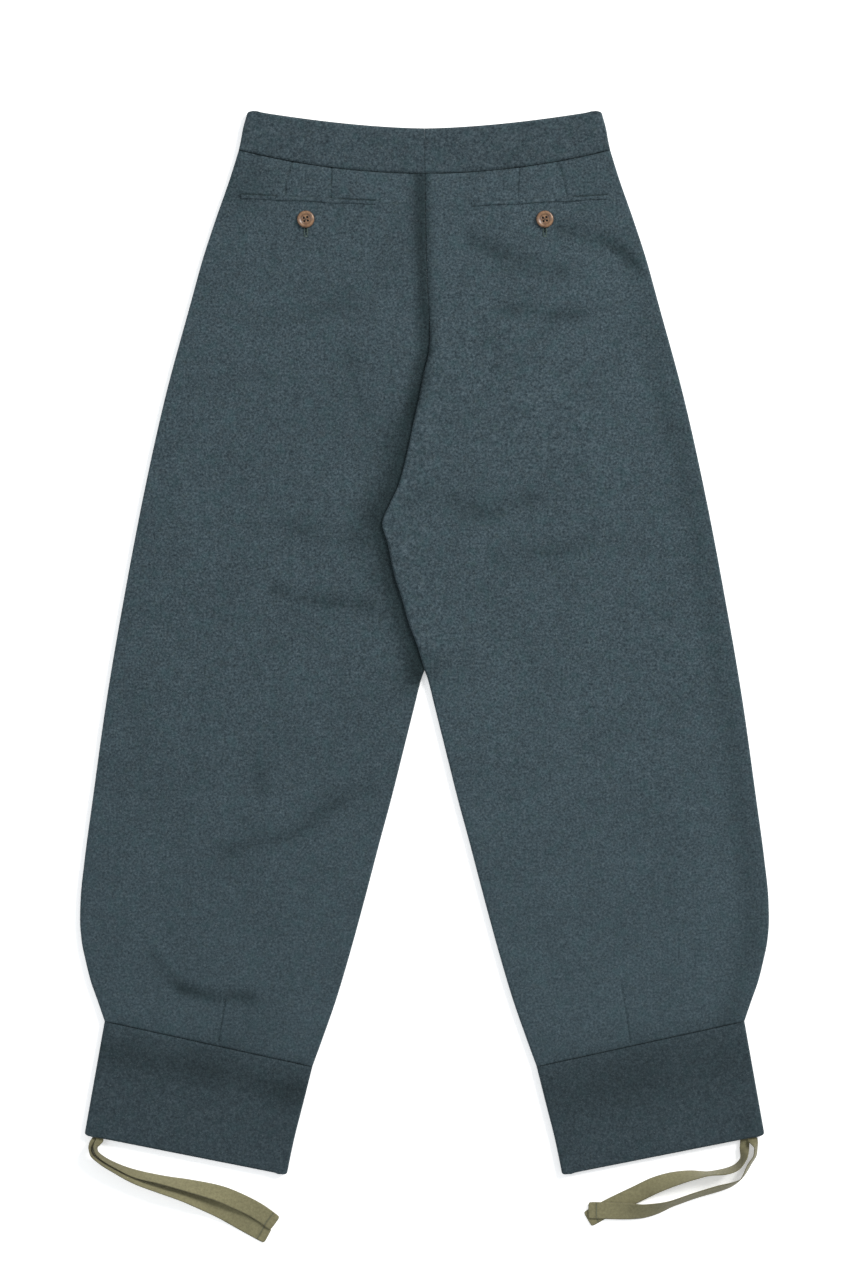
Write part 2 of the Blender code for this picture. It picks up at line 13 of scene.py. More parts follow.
import bpy
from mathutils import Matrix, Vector


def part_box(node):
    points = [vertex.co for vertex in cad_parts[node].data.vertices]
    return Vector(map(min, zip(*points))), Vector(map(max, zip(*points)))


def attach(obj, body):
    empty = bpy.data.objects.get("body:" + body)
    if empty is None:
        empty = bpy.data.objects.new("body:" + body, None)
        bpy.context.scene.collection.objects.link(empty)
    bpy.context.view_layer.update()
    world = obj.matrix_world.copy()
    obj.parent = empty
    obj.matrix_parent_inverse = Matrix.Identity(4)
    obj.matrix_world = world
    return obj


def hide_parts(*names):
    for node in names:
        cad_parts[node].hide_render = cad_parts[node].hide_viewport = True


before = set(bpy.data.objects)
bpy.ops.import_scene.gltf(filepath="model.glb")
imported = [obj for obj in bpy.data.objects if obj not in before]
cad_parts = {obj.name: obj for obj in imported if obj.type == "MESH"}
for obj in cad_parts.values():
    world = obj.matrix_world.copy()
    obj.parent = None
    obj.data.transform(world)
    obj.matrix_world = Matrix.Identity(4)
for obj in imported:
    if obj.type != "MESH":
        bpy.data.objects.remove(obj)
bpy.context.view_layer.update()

MM = 0.001

# %% [markdown]
# ## Camera, floor and light
# The garment was photographed from straight above with a long lens, so the camera looks
# straight down. One picture of 850 x 1279 pixels takes in 1.337 m from top to bottom, and
# the distance follows from that and the lens. Soft light comes from the upper right, as
# the shaded left flank of each fold shows, and a weaker one fills in from the left. The
# floor glows a little, so that shadows on it stay as faint as the photograph's white ground
# needs.

# %% Camera
def add_object(name, data):
    """Puts a new object into the scene."""
    made = bpy.data.objects.new(name, data)
    bpy.context.scene.collection.objects.link(made)
    return made


PIXEL = 1.0450           # millimetres of the floor in one pixel of the photograph
PICTURE_HEIGHT = 1279
PICTURE_CENTRE = Vector((0.5, 38.1)) * MM
LENS = 85.0
SENSOR = 36.0
view_height = PIXEL * PICTURE_HEIGHT * MM
camera_data = bpy.data.cameras.new("camera")
camera_data.lens = LENS
camera_data.sensor_width = SENSOR
camera_data.clip_end = 20.0
camera = add_object("camera", camera_data)
camera.location = (*PICTURE_CENTRE, view_height * LENS / SENSOR)
bpy.context.scene.camera = camera
print("camera height:", round(camera.location.z, 3), "m")


# %% Floor and light
def add_light(name, place, size, watts, colour):
    """A square soft light that points at the middle of the garment."""
    data = bpy.data.lights.new(name, "AREA")
    data.size = size
    data.energy = watts
    data.color = colour
    light = add_object(name, data)
    light.location = place
    light.rotation_euler = (-Vector(place)).to_track_quat("-Z", "Y").to_euler()


ROOM_COLOUR = (0.95, 0.98, 1.0, 1)
ROOM_STRENGTH = 0.52
add_light("key", place=(4.0, 3.2, 3.4), size=2.2, watts=430, colour=(1.0, 0.985, 0.96))
add_light("fill", place=(-3.5, 0.3, 3.6), size=3.0, watts=62, colour=(0.94, 0.97, 1.0))
world = bpy.data.worlds.new("soft room")
world.use_nodes = True
background = world.node_tree.nodes["Background"]
background.inputs["Color"].default_value = ROOM_COLOUR
background.inputs["Strength"].default_value = ROOM_STRENGTH
bpy.context.scene.world = world
bpy.context.scene.view_settings.view_transform = "Standard"

FLOOR_HALF = 4.0         # metres
FLOOR_DROP = 0.0004      # the floor lies this much lower than the cloth, so that they don't mix
CORNERS = ((-1, -1), (1, -1), (1, 1), (-1, 1))
floor_mesh = bpy.data.meshes.new("floor")
floor_mesh.from_pydata(
    [(x * FLOOR_HALF, y * FLOOR_HALF, -FLOOR_DROP) for x, y in CORNERS], [], [(0, 1, 2, 3)]
)
floor = add_object("floor", floor_mesh)
print("lights:", len(bpy.data.lights), "floor:", 2 * FLOOR_HALF, "m wide")

# %% [markdown]
# ## Materials
# Melton is a wool cloth that is fulled until its weave can't be seen. Its colour is a
# mixture: dark slate, lighter grey and teal fibres were blended before spinning, which
# leaves soft mottling a few millimetres across and single pale or dark flecks. Noise
# textures at several scales give that, and every texture reads the piece's own coordinates
# in metres, so that the mottling runs on from one panel to the next at its real size.
# A value painted into each mesh is painted shade: it darkens the bottom of seams and darts and
# other hollows, where shade falls in real cloth, and a little of it lies in the wide troughs.

# %% Node helpers
def new_material(name, roughness):
    """A material, its node tree and its Principled shader."""
    material = bpy.data.materials.new(name)
    material.use_nodes = True
    tree = material.node_tree
    shader = tree.nodes["Principled BSDF"]
    shader.inputs["Roughness"].default_value = roughness
    return material, tree, shader


def feed(tree, node, given):
    """Gives a node's inputs their values, colours or links from other nodes."""
    for key, value in given.items():
        socket = node.inputs[key]
        if isinstance(value, bpy.types.NodeSocket):
            tree.links.new(value, socket)
        elif isinstance(value, tuple):
            socket.default_value = (*value, 1)
        else:
            socket.default_value = value


def own_place(tree):
    """The piece's own coordinates in metres."""
    return tree.nodes.new("ShaderNodeTexCoord").outputs["Object"]


def noise(tree, coordinates, size, detail=2.0, roughness=0.55):
    """Noise whose blobs are about this many millimetres across."""
    texture = tree.nodes.new("ShaderNodeTexNoise")
    feed(tree, texture, {
        "Vector": coordinates, "Scale": 1 / (size * MM), "Detail": detail, "Roughness": roughness,
    })
    return texture.outputs["Fac"]


def grey(value):
    return (value,) * 3


def ramp(tree, value, *stops):
    """Turns a value into a colour. Each stop is (place, colour)."""
    made = tree.nodes.new("ShaderNodeValToRGB")
    elements = made.color_ramp.elements
    while len(elements) < len(stops):
        elements.new(0.5)
    for element, (place, colour) in zip(elements, stops):
        element.position = place
        element.color = (*colour, 1)
    feed(tree, made, {"Fac": value})
    return made.outputs["Color"]


def mix(tree, kind, factor, first, second):
    """Mixes two colours. The inputs 6 and 7 of this node are its colours."""
    made = tree.nodes.new("ShaderNodeMix")
    made.data_type = "RGBA"
    made.blend_type = kind
    feed(tree, made, {0: factor, 6: first, 7: second})
    return made.outputs[2]


# %% Arithmetic, creases and relief
def calculate(tree, kind, *values):
    """One step of arithmetic on values or on other nodes' outputs."""
    made = tree.nodes.new("ShaderNodeMath")
    made.operation = kind
    feed(tree, made, dict(enumerate(values)))
    return made.outputs[0]


def apply_painted_shade(tree, colour, shade):
    """Multiplies a colour by the shade colour where painted shade lies in the mesh."""
    painted = tree.nodes.new("ShaderNodeAttribute")
    painted.attribute_name = "crease"
    return mix(tree, "MULTIPLY", painted.outputs["Fac"], colour, shade)


def add_bump(tree, shader, height, strength, depth):
    """Lets a value stand up as relief, this many millimetres high at strength 1."""
    bump = tree.nodes.new("ShaderNodeBump")
    feed(tree, bump, {"Strength": strength, "Distance": depth * MM, "Height": height})
    feed(tree, shader, {"Normal": bump.outputs["Normal"]})


# %% Colours of the wool
SLATE_DARK = (0.013, 0.022, 0.028)
SLATE = (0.034, 0.053, 0.064)
SLATE_PALE = (0.066, 0.092, 0.106)
TEAL = (0.023, 0.059, 0.064)
PLUM = (0.043, 0.052, 0.059)
MOSS = (0.037, 0.057, 0.050)
PALE_FIBRE = (0.145, 0.175, 0.185)
BLACK_FIBRE = (0.008, 0.012, 0.016)
# Colour that the painted shade multiplies the wool by
PAINTED_SHADE_COLOUR = (0.24, 0.31, 0.30)
MOTTLE = 2.4             # size of the mottling
FIBRE = 1.1              # size of the single pale and black flecks
CALM_FROM, CALM_TO = 0.05, -0.35     # down the legs the mottling grows weaker, in metres
CALM_SHARE = 0.28
NAP = 0.35               # strength and height of the felted surface
Patch = namedtuple("Patch", "size low high share tint")
PATCHES = [
    Patch(12.0, 0.50, 0.68, 0.26, TEAL), Patch(8.0, 0.54, 0.70, 0.24, PLUM),
    Patch(5.0, 0.58, 0.72, 0.24, MOSS),
]
Cloud = namedtuple("Cloud", "size dark light")
CLOUDS = [Cloud(9.0, 0.88, 1.11), Cloud(55.0, 0.93, 1.06)]


# %% Wool
def scaled(colour, share):
    return tuple(channel * share for channel in colour)


def calmer(tree, place):
    """How much of the mottling is taken back, from none at the seat to most at the hem."""
    split = tree.nodes.new("ShaderNodeSeparateXYZ")
    tree.links.new(place, split.inputs[0])
    down = calculate(tree, "SUBTRACT", CALM_FROM, split.outputs["Y"])
    calm = calculate(tree, "MULTIPLY", down, CALM_SHARE / (CALM_FROM - CALM_TO))
    return calculate(tree, "MINIMUM", calculate(tree, "MAXIMUM", calm, 0.0), CALM_SHARE)


def melton(name, light):
    """Fulled wool. light makes a whole piece a little paler or darker."""
    material, tree, shader = new_material(name, 0.96)
    place = own_place(tree)
    dark, middle, pale = (scaled(tone, light) for tone in (SLATE_DARK, SLATE, SLATE_PALE))
    mottle = noise(tree, place, MOTTLE, 3.0, 0.62)
    colour = ramp(tree, mottle, (0.31, dark), (0.5, middle), (0.69, pale))
    for patch in PATCHES:
        value = noise(tree, place, patch.size)
        share = ramp(tree, value, (patch.low, grey(0)), (patch.high, grey(patch.share)))
        colour = mix(tree, "MIX", share, colour, scaled(patch.tint, light))
    for cloud in CLOUDS:
        value = noise(tree, place, cloud.size, 3.0)
        shade = ramp(tree, value, (0.34, grey(cloud.dark)), (0.66, grey(cloud.light)))
        colour = mix(tree, "MULTIPLY", 1.0, colour, shade)
    fibres = noise(tree, place, FIBRE, 2.0, 0.6)
    share = ramp(tree, fibres, (0.60, grey(0)), (0.74, grey(0.55)))
    colour = mix(tree, "MIX", share, colour, PALE_FIBRE)
    share = ramp(tree, fibres, (0.27, grey(0.6)), (0.41, grey(0)))
    colour = mix(tree, "MIX", share, colour, BLACK_FIBRE)
    colour = mix(tree, "MIX", calmer(tree, place), colour, middle)
    nap = calculate(tree, "ADD", mottle, calculate(tree, "MULTIPLY", fibres, 0.8))
    add_bump(tree, shader, nap, NAP, NAP)
    feed(tree, shader, {
        "Base Color": apply_painted_shade(tree, colour, PAINTED_SHADE_COLOUR), "Specular IOR Level": 0.2,
        "Sheen Weight": 0.22, "Sheen Roughness": 0.45, "Sheen Tint": (0.62, 0.74, 0.80),
    })
    return material


wool = melton("wool melton", 1.0)
# The right leg and its welt are painted a little lighter, as if more light fell on them.
wool_painted_light = melton("wool melton, painted lighter leg", 1.05)
wool_band = melton("wool melton, waistband", 0.89)
wool_cuff = melton("wool melton, double cuff", 0.76)
print("wool materials:", [m.name for m in (wool, wool_painted_light, wool_band, wool_cuff)])

# %% [markdown]
# The ankle tapes are woven cotton, olive khaki and a little shiny. A flat woven tape has
# fine ribs along it and crossing threads, so two sets of bands are laid over each other.
# They follow the tape's own length and width, which its mesh carries as a UV map in metres.

# %% Cotton tape, thread, button and floor
RIB = 0.95               # spacing of the tape's ribs
PICK = 0.6               # spacing of its crossing threads
TAPE_DARK = (0.130, 0.120, 0.060)
TAPE_PALE = (0.245, 0.226, 0.120)
TAPE_STAIN = (0.150, 0.134, 0.070)
# Colour that the painted shade multiplies the tape by
TAPE_SHADE = (0.45, 0.43, 0.40)
THREAD_DARK = (0.040, 0.068, 0.060)
THREAD_PALE = (0.095, 0.140, 0.120)
BROWN_THREAD = (0.085, 0.062, 0.046)
BUTTON_DARK = (0.105, 0.052, 0.026)
BUTTON_BROWN = (0.195, 0.105, 0.054)
BUTTON_PALE = (0.290, 0.165, 0.085)
# Colour that the painted shade multiplies the button by
BUTTON_SHADE = (0.34, 0.30, 0.28)
FLOOR_GLOW = 0.36


def bands(tree, coordinates, axis, spacing):
    """Bands this many millimetres apart. A wave texture repeats every pi / 10 units."""
    texture = tree.nodes.new("ShaderNodeTexWave")
    texture.bands_direction = axis
    feed(tree, texture, {
        "Vector": coordinates, "Scale": 2 * math.pi / (20 * spacing * MM), "Distortion": 0.6,
        "Detail": 1.0,
    })
    return texture.outputs["Fac"]


tape, tree, shader = new_material("woven cotton tape", 0.88)
threads = tree.nodes.new("ShaderNodeUVMap").outputs["UV"]
place = own_place(tree)
weave = calculate(tree, "MULTIPLY", bands(tree, threads, "Y", RIB), bands(tree, threads, "X", PICK))
mottle = noise(tree, place, 2.6, 4.0, 0.7)
colour = ramp(tree, mottle, (0.22, TAPE_DARK), (0.74, TAPE_PALE))
stain = ramp(tree, noise(tree, place, 21.0), (0.52, grey(0)), (0.72, grey(0.3)))
colour = mix(tree, "MIX", stain, colour, TAPE_STAIN)
shade = ramp(tree, weave, (0.0, grey(0.80)), (0.55, grey(1.06)))
colour = mix(tree, "MULTIPLY", 1.0, colour, shade)
add_bump(tree, shader, weave, 0.5, 0.25)
colour = apply_painted_shade(tree, colour, TAPE_SHADE)
feed(tree, shader, {"Base Color": colour, "Sheen Weight": 0.12})

thread, tree, shader = new_material("grey-green thread", 0.7)
colour = ramp(tree, noise(tree, own_place(tree), 0.7), (0.3, THREAD_DARK), (0.7, THREAD_PALE))
feed(tree, shader, {"Base Color": colour})

brown_thread, tree, shader = new_material("brown thread", 0.7)
feed(tree, shader, {"Base Color": BROWN_THREAD})

horn, tree, shader = new_material("brown button", 0.42)
grain = noise(tree, own_place(tree), 4.2, 3.0, 0.6)
colour = ramp(tree, grain, (0.32, BUTTON_DARK), (0.55, BUTTON_BROWN), (0.72, BUTTON_PALE))
colour = apply_painted_shade(tree, colour, BUTTON_SHADE)
feed(tree, shader, {"Base Color": colour, "Coat Weight": 0.15, "Coat Roughness": 0.30})

pale_floor, tree, shader = new_material("pale floor", 0.9)
feed(tree, shader, {
    "Base Color": grey(0.96), "Emission Color": grey(1.0), "Emission Strength": FLOOR_GLOW,
})
floor_mesh.materials.append(pale_floor)
print("other materials:", [m.name for m in (tape, thread, brown_thread, horn, pale_floor)])

# %% [markdown]
# ## The shape of the cloth
# The tables below are the trousers' own cut, as in the solid model: how far a seam lies
# from the middle line at each drop below the waist. A monotone curve through each table
# gives the places between. All distances are seen from above, in millimetres.

# %% Sizes shared with the solids
TOP_Y = 591.5            # highest point of the waistband
CLOTH = 2.2
BAND_CLOTH = 2.6
SEAM_GAP = 0.3
EDGE_RADIUS = 3.35       # roll at a side seam or an inseam
BAND_RADIUS = 3.85       # the same on the waistband and the cuffs
RIM = 0.9                # straight stretch at the end of a roll
PUFF = 0.5               # how far the air in a leg lifts the cloth
WAIST_HALF = 193.8       # half the flat waist at its seam
WAIST_SEAM_CENTRE = 67.4
WAIST_SEAM_SIDE = 42.8
BAND_TOP_CENTRE = 20.2   # drop of the waistband's upper edge at the centre back
BAND_TOP_RISE = 20.6     # how much higher that edge is at the side
CUFF_SEAM_OUTER = (333.8, 951.6)     # distance from the middle line, drop
CUFF_SEAM_INNER = (117.0, 999.0)
HEM_OUTER = (354.8, 1070.1)
HEM_INNER = (143.7, 1111.9)
FORK_DROP = 585.7        # where the legs part
ROLLED_DROP = 617.0      # where the inseam has its full roll
LAP_START, LAP_END = 250.0, 560.0
LAP_TOP = 4.8            # height of the left leg's face under the lap of the right one
LAP_CREST = 8.55         # height of the right leg along the lap
LAP_SHARE = 0.9          # how much of the way to the middle line the hidden lap reaches
LAP_MARGIN = 6.0         # level stretch of the left leg beside the lap
PANEL_LENGTH = CUFF_SEAM_INNER[1] - WAIST_SEAM_CENTRE
print("leg panel:", round(PANEL_LENGTH, 1), "mm long down the middle")

# %% Seams as tables
Station = namedtuple("Station", "drop across")
Roll = namedtuple("Roll", "drop angle level")


def stations(*pairs):
    return [Station(*pair) for pair in pairs]


OUTSEAM = stations(
    (42.8, 193.8), (73.2, 203.3), (115.0, 217.9), (156.8, 231.5), (198.6, 243.0), (303.1, 271.2),
    (407.6, 294.2), (512.1, 314.0), (616.6, 331.8), (721.1, 346.4), (783.8, 354.8), (825.6, 359.0),
    (846.5, 359.5), (867.4, 357.9), (888.3, 353.7), (909.2, 348.5), (930.1, 341.2), (951.6, 333.8),
)
INSEAM = stations(
    (585.7, 0.15), (595.7, 3.7), (616.6, 8.9), (658.4, 19.3), (721.1, 35.0), (762.9, 46.3),
    (825.6, 62.7), (888.3, 79.9), (930.1, 92.5), (971.9, 107.1), (999.0, 117.0),
)
CREST = stations(
    (67.4, 0.3), (118.1, 0.9), (180.8, 2.9), (238.3, 5.7), (251.8, 4.7), (272.7, -0.1),
    (299.9, -5.4), (324.0, -10.8), (350.0, -16.2), (390.8, -26.6), (409.1, -35.0), (433.2, -44.1),
    (451.4, -38.8), (483.8, -32.1), (513.1, -22.8), (537.1, -16.2), (558.0, -8.2), (585.7, 0.15),
)
WAISTBAND_SIDE = stations(
    (0.0, 193.8), (0.22, 191.8), (0.51, 189.7), (0.8, 186.5), (0.95, 184.4), (1.0, 180.0),
)
CUFF_INNER_EDGE = stations(
    (999.0, 117.0), (1034.6, 125.9), (1076.4, 136.4), (1111.9, 143.7),
)
CENTRE_ROLL = {
    "right": [
        Roll(67.4, 30.0, 7.3), Roll(215.0, 30.0, 7.3), Roll(262.0, 90.0, LAP_CREST),
        Roll(LAP_END, 90.0, LAP_CREST), Roll(FORK_DROP, 90.0, 7.0), Roll(999.0, 90.0, 7.0),
    ],
    "left": [
        Roll(67.4, 30.0, 7.3), Roll(196.0, 30.0, 7.3), Roll(244.0, 0.0, LAP_TOP),
        Roll(FORK_DROP, 0.0, LAP_TOP), Roll(ROLLED_DROP, 90.0, 7.5), Roll(660.0, 90.0, 7.0),
        Roll(999.0, 90.0, 7.0),
    ],
    "front": [
        Roll(67.4, 0.0, 0.0), Roll(FORK_DROP, 0.0, 0.0), Roll(ROLLED_DROP, 90.0, 0.0),
        Roll(999.0, 90.0, 0.0),
    ],
}
SIDE_DIP_WIDTH = 30.0    # how far from a side seam the puff of a leg is reached
CENTRE_DIP_WIDTH = {"left": 22.0, "right": 28.0}    # the same from the middle
print("points of the side seam:", len(OUTSEAM), "of the inseam:", len(INSEAM))


# %% Curves and distances
def curve_at(rows, place, value):
    """Reads one column of a table at a place in its first column, on a smooth curve."""
    keys = [row[0] for row in rows]
    column = [getattr(row, value) for row in rows]
    if place <= keys[0]:
        return column[0]
    if place >= keys[-1]:
        return column[-1]
    after = next(i for i, key in enumerate(keys) if key > place)
    before = after - 1
    span = keys[after] - keys[before]

    def slope(i):
        if i in (0, len(keys) - 1):
            return (column[after] - column[before]) / span
        left = (column[i] - column[i - 1]) / (keys[i] - keys[i - 1])
        right = (column[i + 1] - column[i]) / (keys[i + 1] - keys[i])
        return 2 * left * right / (left + right) if left * right > 0 else 0.0

    t = (place - keys[before]) / span
    return (
        (2 * t**3 - 3 * t**2 + 1) * column[before]
        + (t**3 - 2 * t**2 + t) * span * slope(before)
        + (3 * t**2 - 2 * t**3) * column[after]
        + (t**3 - t**2) * span * slope(after)
    )


def smoothstep(low, high, value):
    t = min(1.0, max(0.0, (value - low) / (high - low)))
    return t * t * (3 - 2 * t)


def bell(distance, width):
    return math.exp(-((distance / width) ** 2))


def stroke(made, distance):
    """Depth or paint beside a line. made holds how strong it is there and how wide."""
    strength, width = made
    return strength * bell(distance, width)


def distance_to_line(x, y, points):
    """Shortest distance from a place to a run of straight stretches."""
    best = math.inf
    for (ax, ay), (bx, by) in zip(points, points[1:]):
        dx, dy = bx - ax, by - ay
        t = ((x - ax) * dx + (y - ay) * dy) / (dx * dx + dy * dy)
        t = min(1.0, max(0.0, t))
        best = min(best, math.hypot(x - ax - t * dx, y - ay - t * dy))
    return best


# %% [markdown]
# ## Folds, darts and seams
# Each soft fold is a trough or ridge along a line that was placed from the
# photograph. The solid model has the largest of them, and here they are drawn more closely
# and joined by a few finer ones. The scene also adds a sharper core in each trough, the
# sewn darts, the slight puckering along every seam, and a faint unevenness, because cloth
# that was worn never lies quite flat.

# %% Folds and darts
Fold = namedtuple("Fold", "depth width points")
FOLDS = [
    Fold(1.1, 9.5, [(-154, 91), (-141, 85), (-120, 79), (-57, 72)]),
    Fold(0.6, 10.0, [(-151, 158), (-109, 145)]),
    Fold(0.8, 9.0, [(-78, 330), (-67, 278)]),
    Fold(0.4, 12.0, [(-172, 367), (-73, 388)]),
    Fold(0.6, 9.0, [(-177, -83), (-170, -119)]),
    Fold(0.9, 10.0, [(-203, -184), (-132, -163)]),
    Fold(0.7, 12.0, [(-118, -150), (-99, -135), (-57, -119)]),
    Fold(0.5, 7.5, [(-284, -290), (-276, -303), (-265, -317)]),
    Fold(1.5, 8.0, [(-257, -325), (-225, -334), (-184, -336)]),
    Fold(1.0, 11.0, [(47, 456), (79, 440), (142, 419)]),
    Fold(1.1, 9.0, [(142, 466), (168, 459)]),
    Fold(1.4, 11.0, [(182, 455), (206, 443), (230, 421)]),
    Fold(0.9, 10.0, [(79, 382), (157, 377)]),
    Fold(0.6, 12.0, [(-15, 184), (27, 183), (58, 172), (85, 178), (110, 184)]),
    Fold(0.9, 10.0, [(52, 171), (72, 170)]),
    Fold(0.6, 13.0, [(79, 121), (173, 137)]),
    Fold(0.5, 8.0, [(16, 294), (68, 341)]),
    Fold(0.6, 8.0, [(53, 278), (100, 328), (133, 370)]),
    Fold(-0.6, 40.0, [(105, 275), (150, 260)]),
    Fold(-0.5, 36.0, [(80, 350), (70, 310)]),
]
FRONT_FOLDS = [
    Fold(0.6, 15.0, [(-230, 60), (-150, 40), (-80, 62)]),
    Fold(0.5, 16.0, [(-250, -240), (-170, -215), (-110, -190)]),
    Fold(0.7, 15.0, [(90, 150), (160, 120), (230, 140)]),
    Fold(0.5, 15.0, [(130, -260), (210, -285), (285, -270)]),
    Fold(0.4, 18.0, [(70, 400), (150, 420)]),
]
DARTS = {
    "left": [
        [(-138.0, 536.1), (-144.1, 513.6), (-145.2, 502.6)],
        [(-96.7, 530.9), (-97.7, 498.5)],
        [(-207.6, -338.6), (-215.1, -382.9)],
    ],
    "right": [
        [(139.5, 536.1), (143.7, 524.1), (148.5, 500.0)],
        [(99.0, 529.8), (97.4, 498.5)],
        [(205.2, -324.0), (210.6, -352.2), (214.7, -382.9)],
    ],
}
DART_SHARES = (0.288, 0.496, 0.548)  # where the darts cross a panel, from the side seam
DART_GROOVE = (0.8, 0.9)     # depth and width of the sewn line itself
DART_HOLLOW = (0.35, 7.0)    # of the hollow around it
# Painted shade along the dart's sewn line
DART_SHADE = (0.5, 0.7)     # of its paint
DART_DRAW = 0.06         # how much of a row's width moves along with a dart
FOLD_CORE = (0.22, 0.45)     # share of a trough's depth and width that its sharp core has
FOLD_SHADE = 0.31        # how much darker a trough is painted, for each millimetre of depth
Spot = namedtuple("Spot", "x y width shade")
SHADED_SPOTS = [
    Spot(0.5, 6, 20, 0.30), Spot(-72, 142, 15, 0.35), Spot(-188, 512, 30, 0.24),
    Spot(175, 522, 26, 0.16), Spot(-146, -435, 20, 0.26), Spot(-225, -402, 26, 0.12),
    Spot(-190, -365, 42, 0.10), Spot(-290, -90, 60, 0.07),
    Spot(215, -408, 34, 0.14), Spot(335, -470, 14, 0.2),
]
PUCKER = 0.16            # height of the puckering along a seam
PUCKER_LENGTH = 13.0
PUCKER_PLACE = (4.0, 4.5)    # how far from the seam it is highest, and its width
SLOW_RISE, QUICK_RISE = 0.17, 0.05   # heights of the wide and the small unevenness
print("folds:", len(FOLDS) + len(FRONT_FOLDS), "darts:", sum(len(d) for d in DARTS.values()))


# %% How far the cloth dips
def fold_depth(x, y, folds):
    """Depth of the soft folds at a place. A trough has a sharper core, a ridge has none."""
    depth = 0.0
    uneven = 1 + 0.3 * math.sin(x / 11 + 2 * math.sin(y / 17))
    core_depth, core_width = FOLD_CORE
    for fold in folds:
        away = distance_to_line(x, y, fold.points)
        if away < 3 * fold.width:
            wide, core = bell(away, fold.width), bell(away, core_width * fold.width)
            depth += fold.depth * (wide + (core_depth * core if fold.depth > 0 else 0)) * uneven
    return depth


def spot_shade(x, y):
    """Paint of the hollows that are wider than a fold."""
    return sum(s.shade * bell(math.hypot(x - s.x, y - s.y), s.width) for s in SHADED_SPOTS)


def dart_shifts(side, start, stop, place_share):
    """How far a row's columns move, so that they run along the darts."""
    shifts = []
    for share, dart in zip(DART_SHARES, DARTS[side]):
        (x0, y0), (x1, y1) = dart[0], dart[-1]
        y = start.lerp(stop, share).y
        t = min(1.0, max(0.0, (y0 - y) / (y0 - y1)))
        beyond = max(0.0, y - y0, y1 - y)
        wanted = place_share((x0 + (x1 - x0) * t - start.x) / (stop.x - start.x))
        shifts.append((share, (wanted - share) * (1 - smoothstep(10, 90, beyond))))
    return shifts


def unevenness(x, y):
    """Faint rises and dips of worn cloth."""
    slow = math.sin(x / 23 + 1.7 * math.sin(y / 61)) * math.sin(y / 37 + 0.6)
    quick = math.sin(x / 9.1 + y / 14.3) * math.sin(y / 11.7 - x / 31)
    return SLOW_RISE * slow + QUICK_RISE * quick


def pucker(along, away):
    """Small gathers that a row of stitches pulls into the cloth beside it."""
    wave = math.sin(2 * math.pi * along / PUCKER_LENGTH + 2.1 * math.sin(along / 47))
    place, width = PUCKER_PLACE
    return PUCKER * wave * bell(away - place, width)


# %% [markdown]
# ## One way to make every panel
# A panel is a grid of points on its outer face. Each row runs from the side seam to the
# inner edge and rolls over at both, and the rows stand closer where a seam or a dart
# needs them. Solidify then gives the grid the real thickness of the cloth, inwards.

# %% Grid helpers
ARC_STEPS = 7
ARC_SPREAD = 0.35


def edge_arc(radius, angle):
    """(inward, sink) of a rolled edge's points, from its rim to the flat."""
    turned = math.radians(angle)
    bend = radius - RIM
    arc = [(0.0, bend * (1 - math.cos(turned)) + RIM * math.sin(turned))]
    for step in range(ARC_STEPS + 1):
        phi = turned * (1 - step / ARC_STEPS)
        inward = bend * (math.sin(turned) - math.sin(phi)) + RIM * math.cos(turned)
        inward += ARC_SPREAD * step * (1 - math.sin(turned))
        arc.append((inward, bend * (1 - math.cos(phi))))
    return arc


def shares(count, clusters=(), spread=0.0):
    """Even shares between 0 and 1, with extra ones packed around some of them."""
    packed = [c + spread * offset / 4 for c in clusters for offset in range(-4, 5)]
    even = [i / count for i in range(1, count)]
    even = [s for s in even if all(abs(s - p) > 0.3 * spread for p in packed)]
    return sorted(even + packed)


def across_row(length, outer, inner, inside, margin=0.0, hidden=0.0):
    """(distance from the outer edge, sink) for each point of a row."""
    start = outer[-1][0]
    stop = length - inner[-1][0]
    shown = length - hidden - margin if margin else stop
    places = list(outer)
    places += [(start + (shown - start) * share, 0.0) for share in inside]
    if margin:
        places += [(shown, 0.0), ((shown + stop) / 2, 0.0)]
    places += [(length - inward, sink) for inward, sink in reversed(inner)]
    return places


# %% From a grid to a piece
def shell(name, grid, wall, outward, material, offset=-1.0, uv=None):
    """Makes a piece from rows of (x, y, z, painted shade) points in millimetres."""
    width = len(grid[0])
    points = [point for row in grid for point in row]
    faces = []
    for j in range(len(grid) - 1):
        for i in range(width - 1):
            a = j * width + i
            faces.append((a, a + 1, a + width + 1, a + width))
    mesh = bpy.data.meshes.new(name)
    mesh.from_pydata([(x * MM, y * MM, z * MM) for x, y, z, _ in points], [], faces)
    if sum(face.normal.z * face.area for face in mesh.polygons) * outward < 0:
        mesh.flip_normals()
    # Each point carries its painted shade, which the material turns into darker colour.
    painted = mesh.attributes.new("crease", "FLOAT", "POINT")
    painted.data.foreach_set("value", [point[3] for point in points])
    if uv:
        layer = mesh.uv_layers.new(name="threads")
        for loop in mesh.loops:
            j, i = divmod(loop.vertex_index, width)
            layer.data[loop.index].uv = uv(j, i)
    mesh.shade_smooth()
    mesh.materials.append(material)
    piece = add_object(name, mesh)
    solid = piece.modifiers.new("wall", "SOLIDIFY")
    solid.thickness = wall * MM
    solid.offset = offset
    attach(piece, "root")
    print(name, "faces:", 2 * len(faces))
    return piece


def cloth(node, grid, wall, outward, material, name=None):
    """A piece of wool in the place of one solid."""
    piece = shell(name or f"cloth_{node}", grid, wall, outward, material)
    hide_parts(node)
    return piece


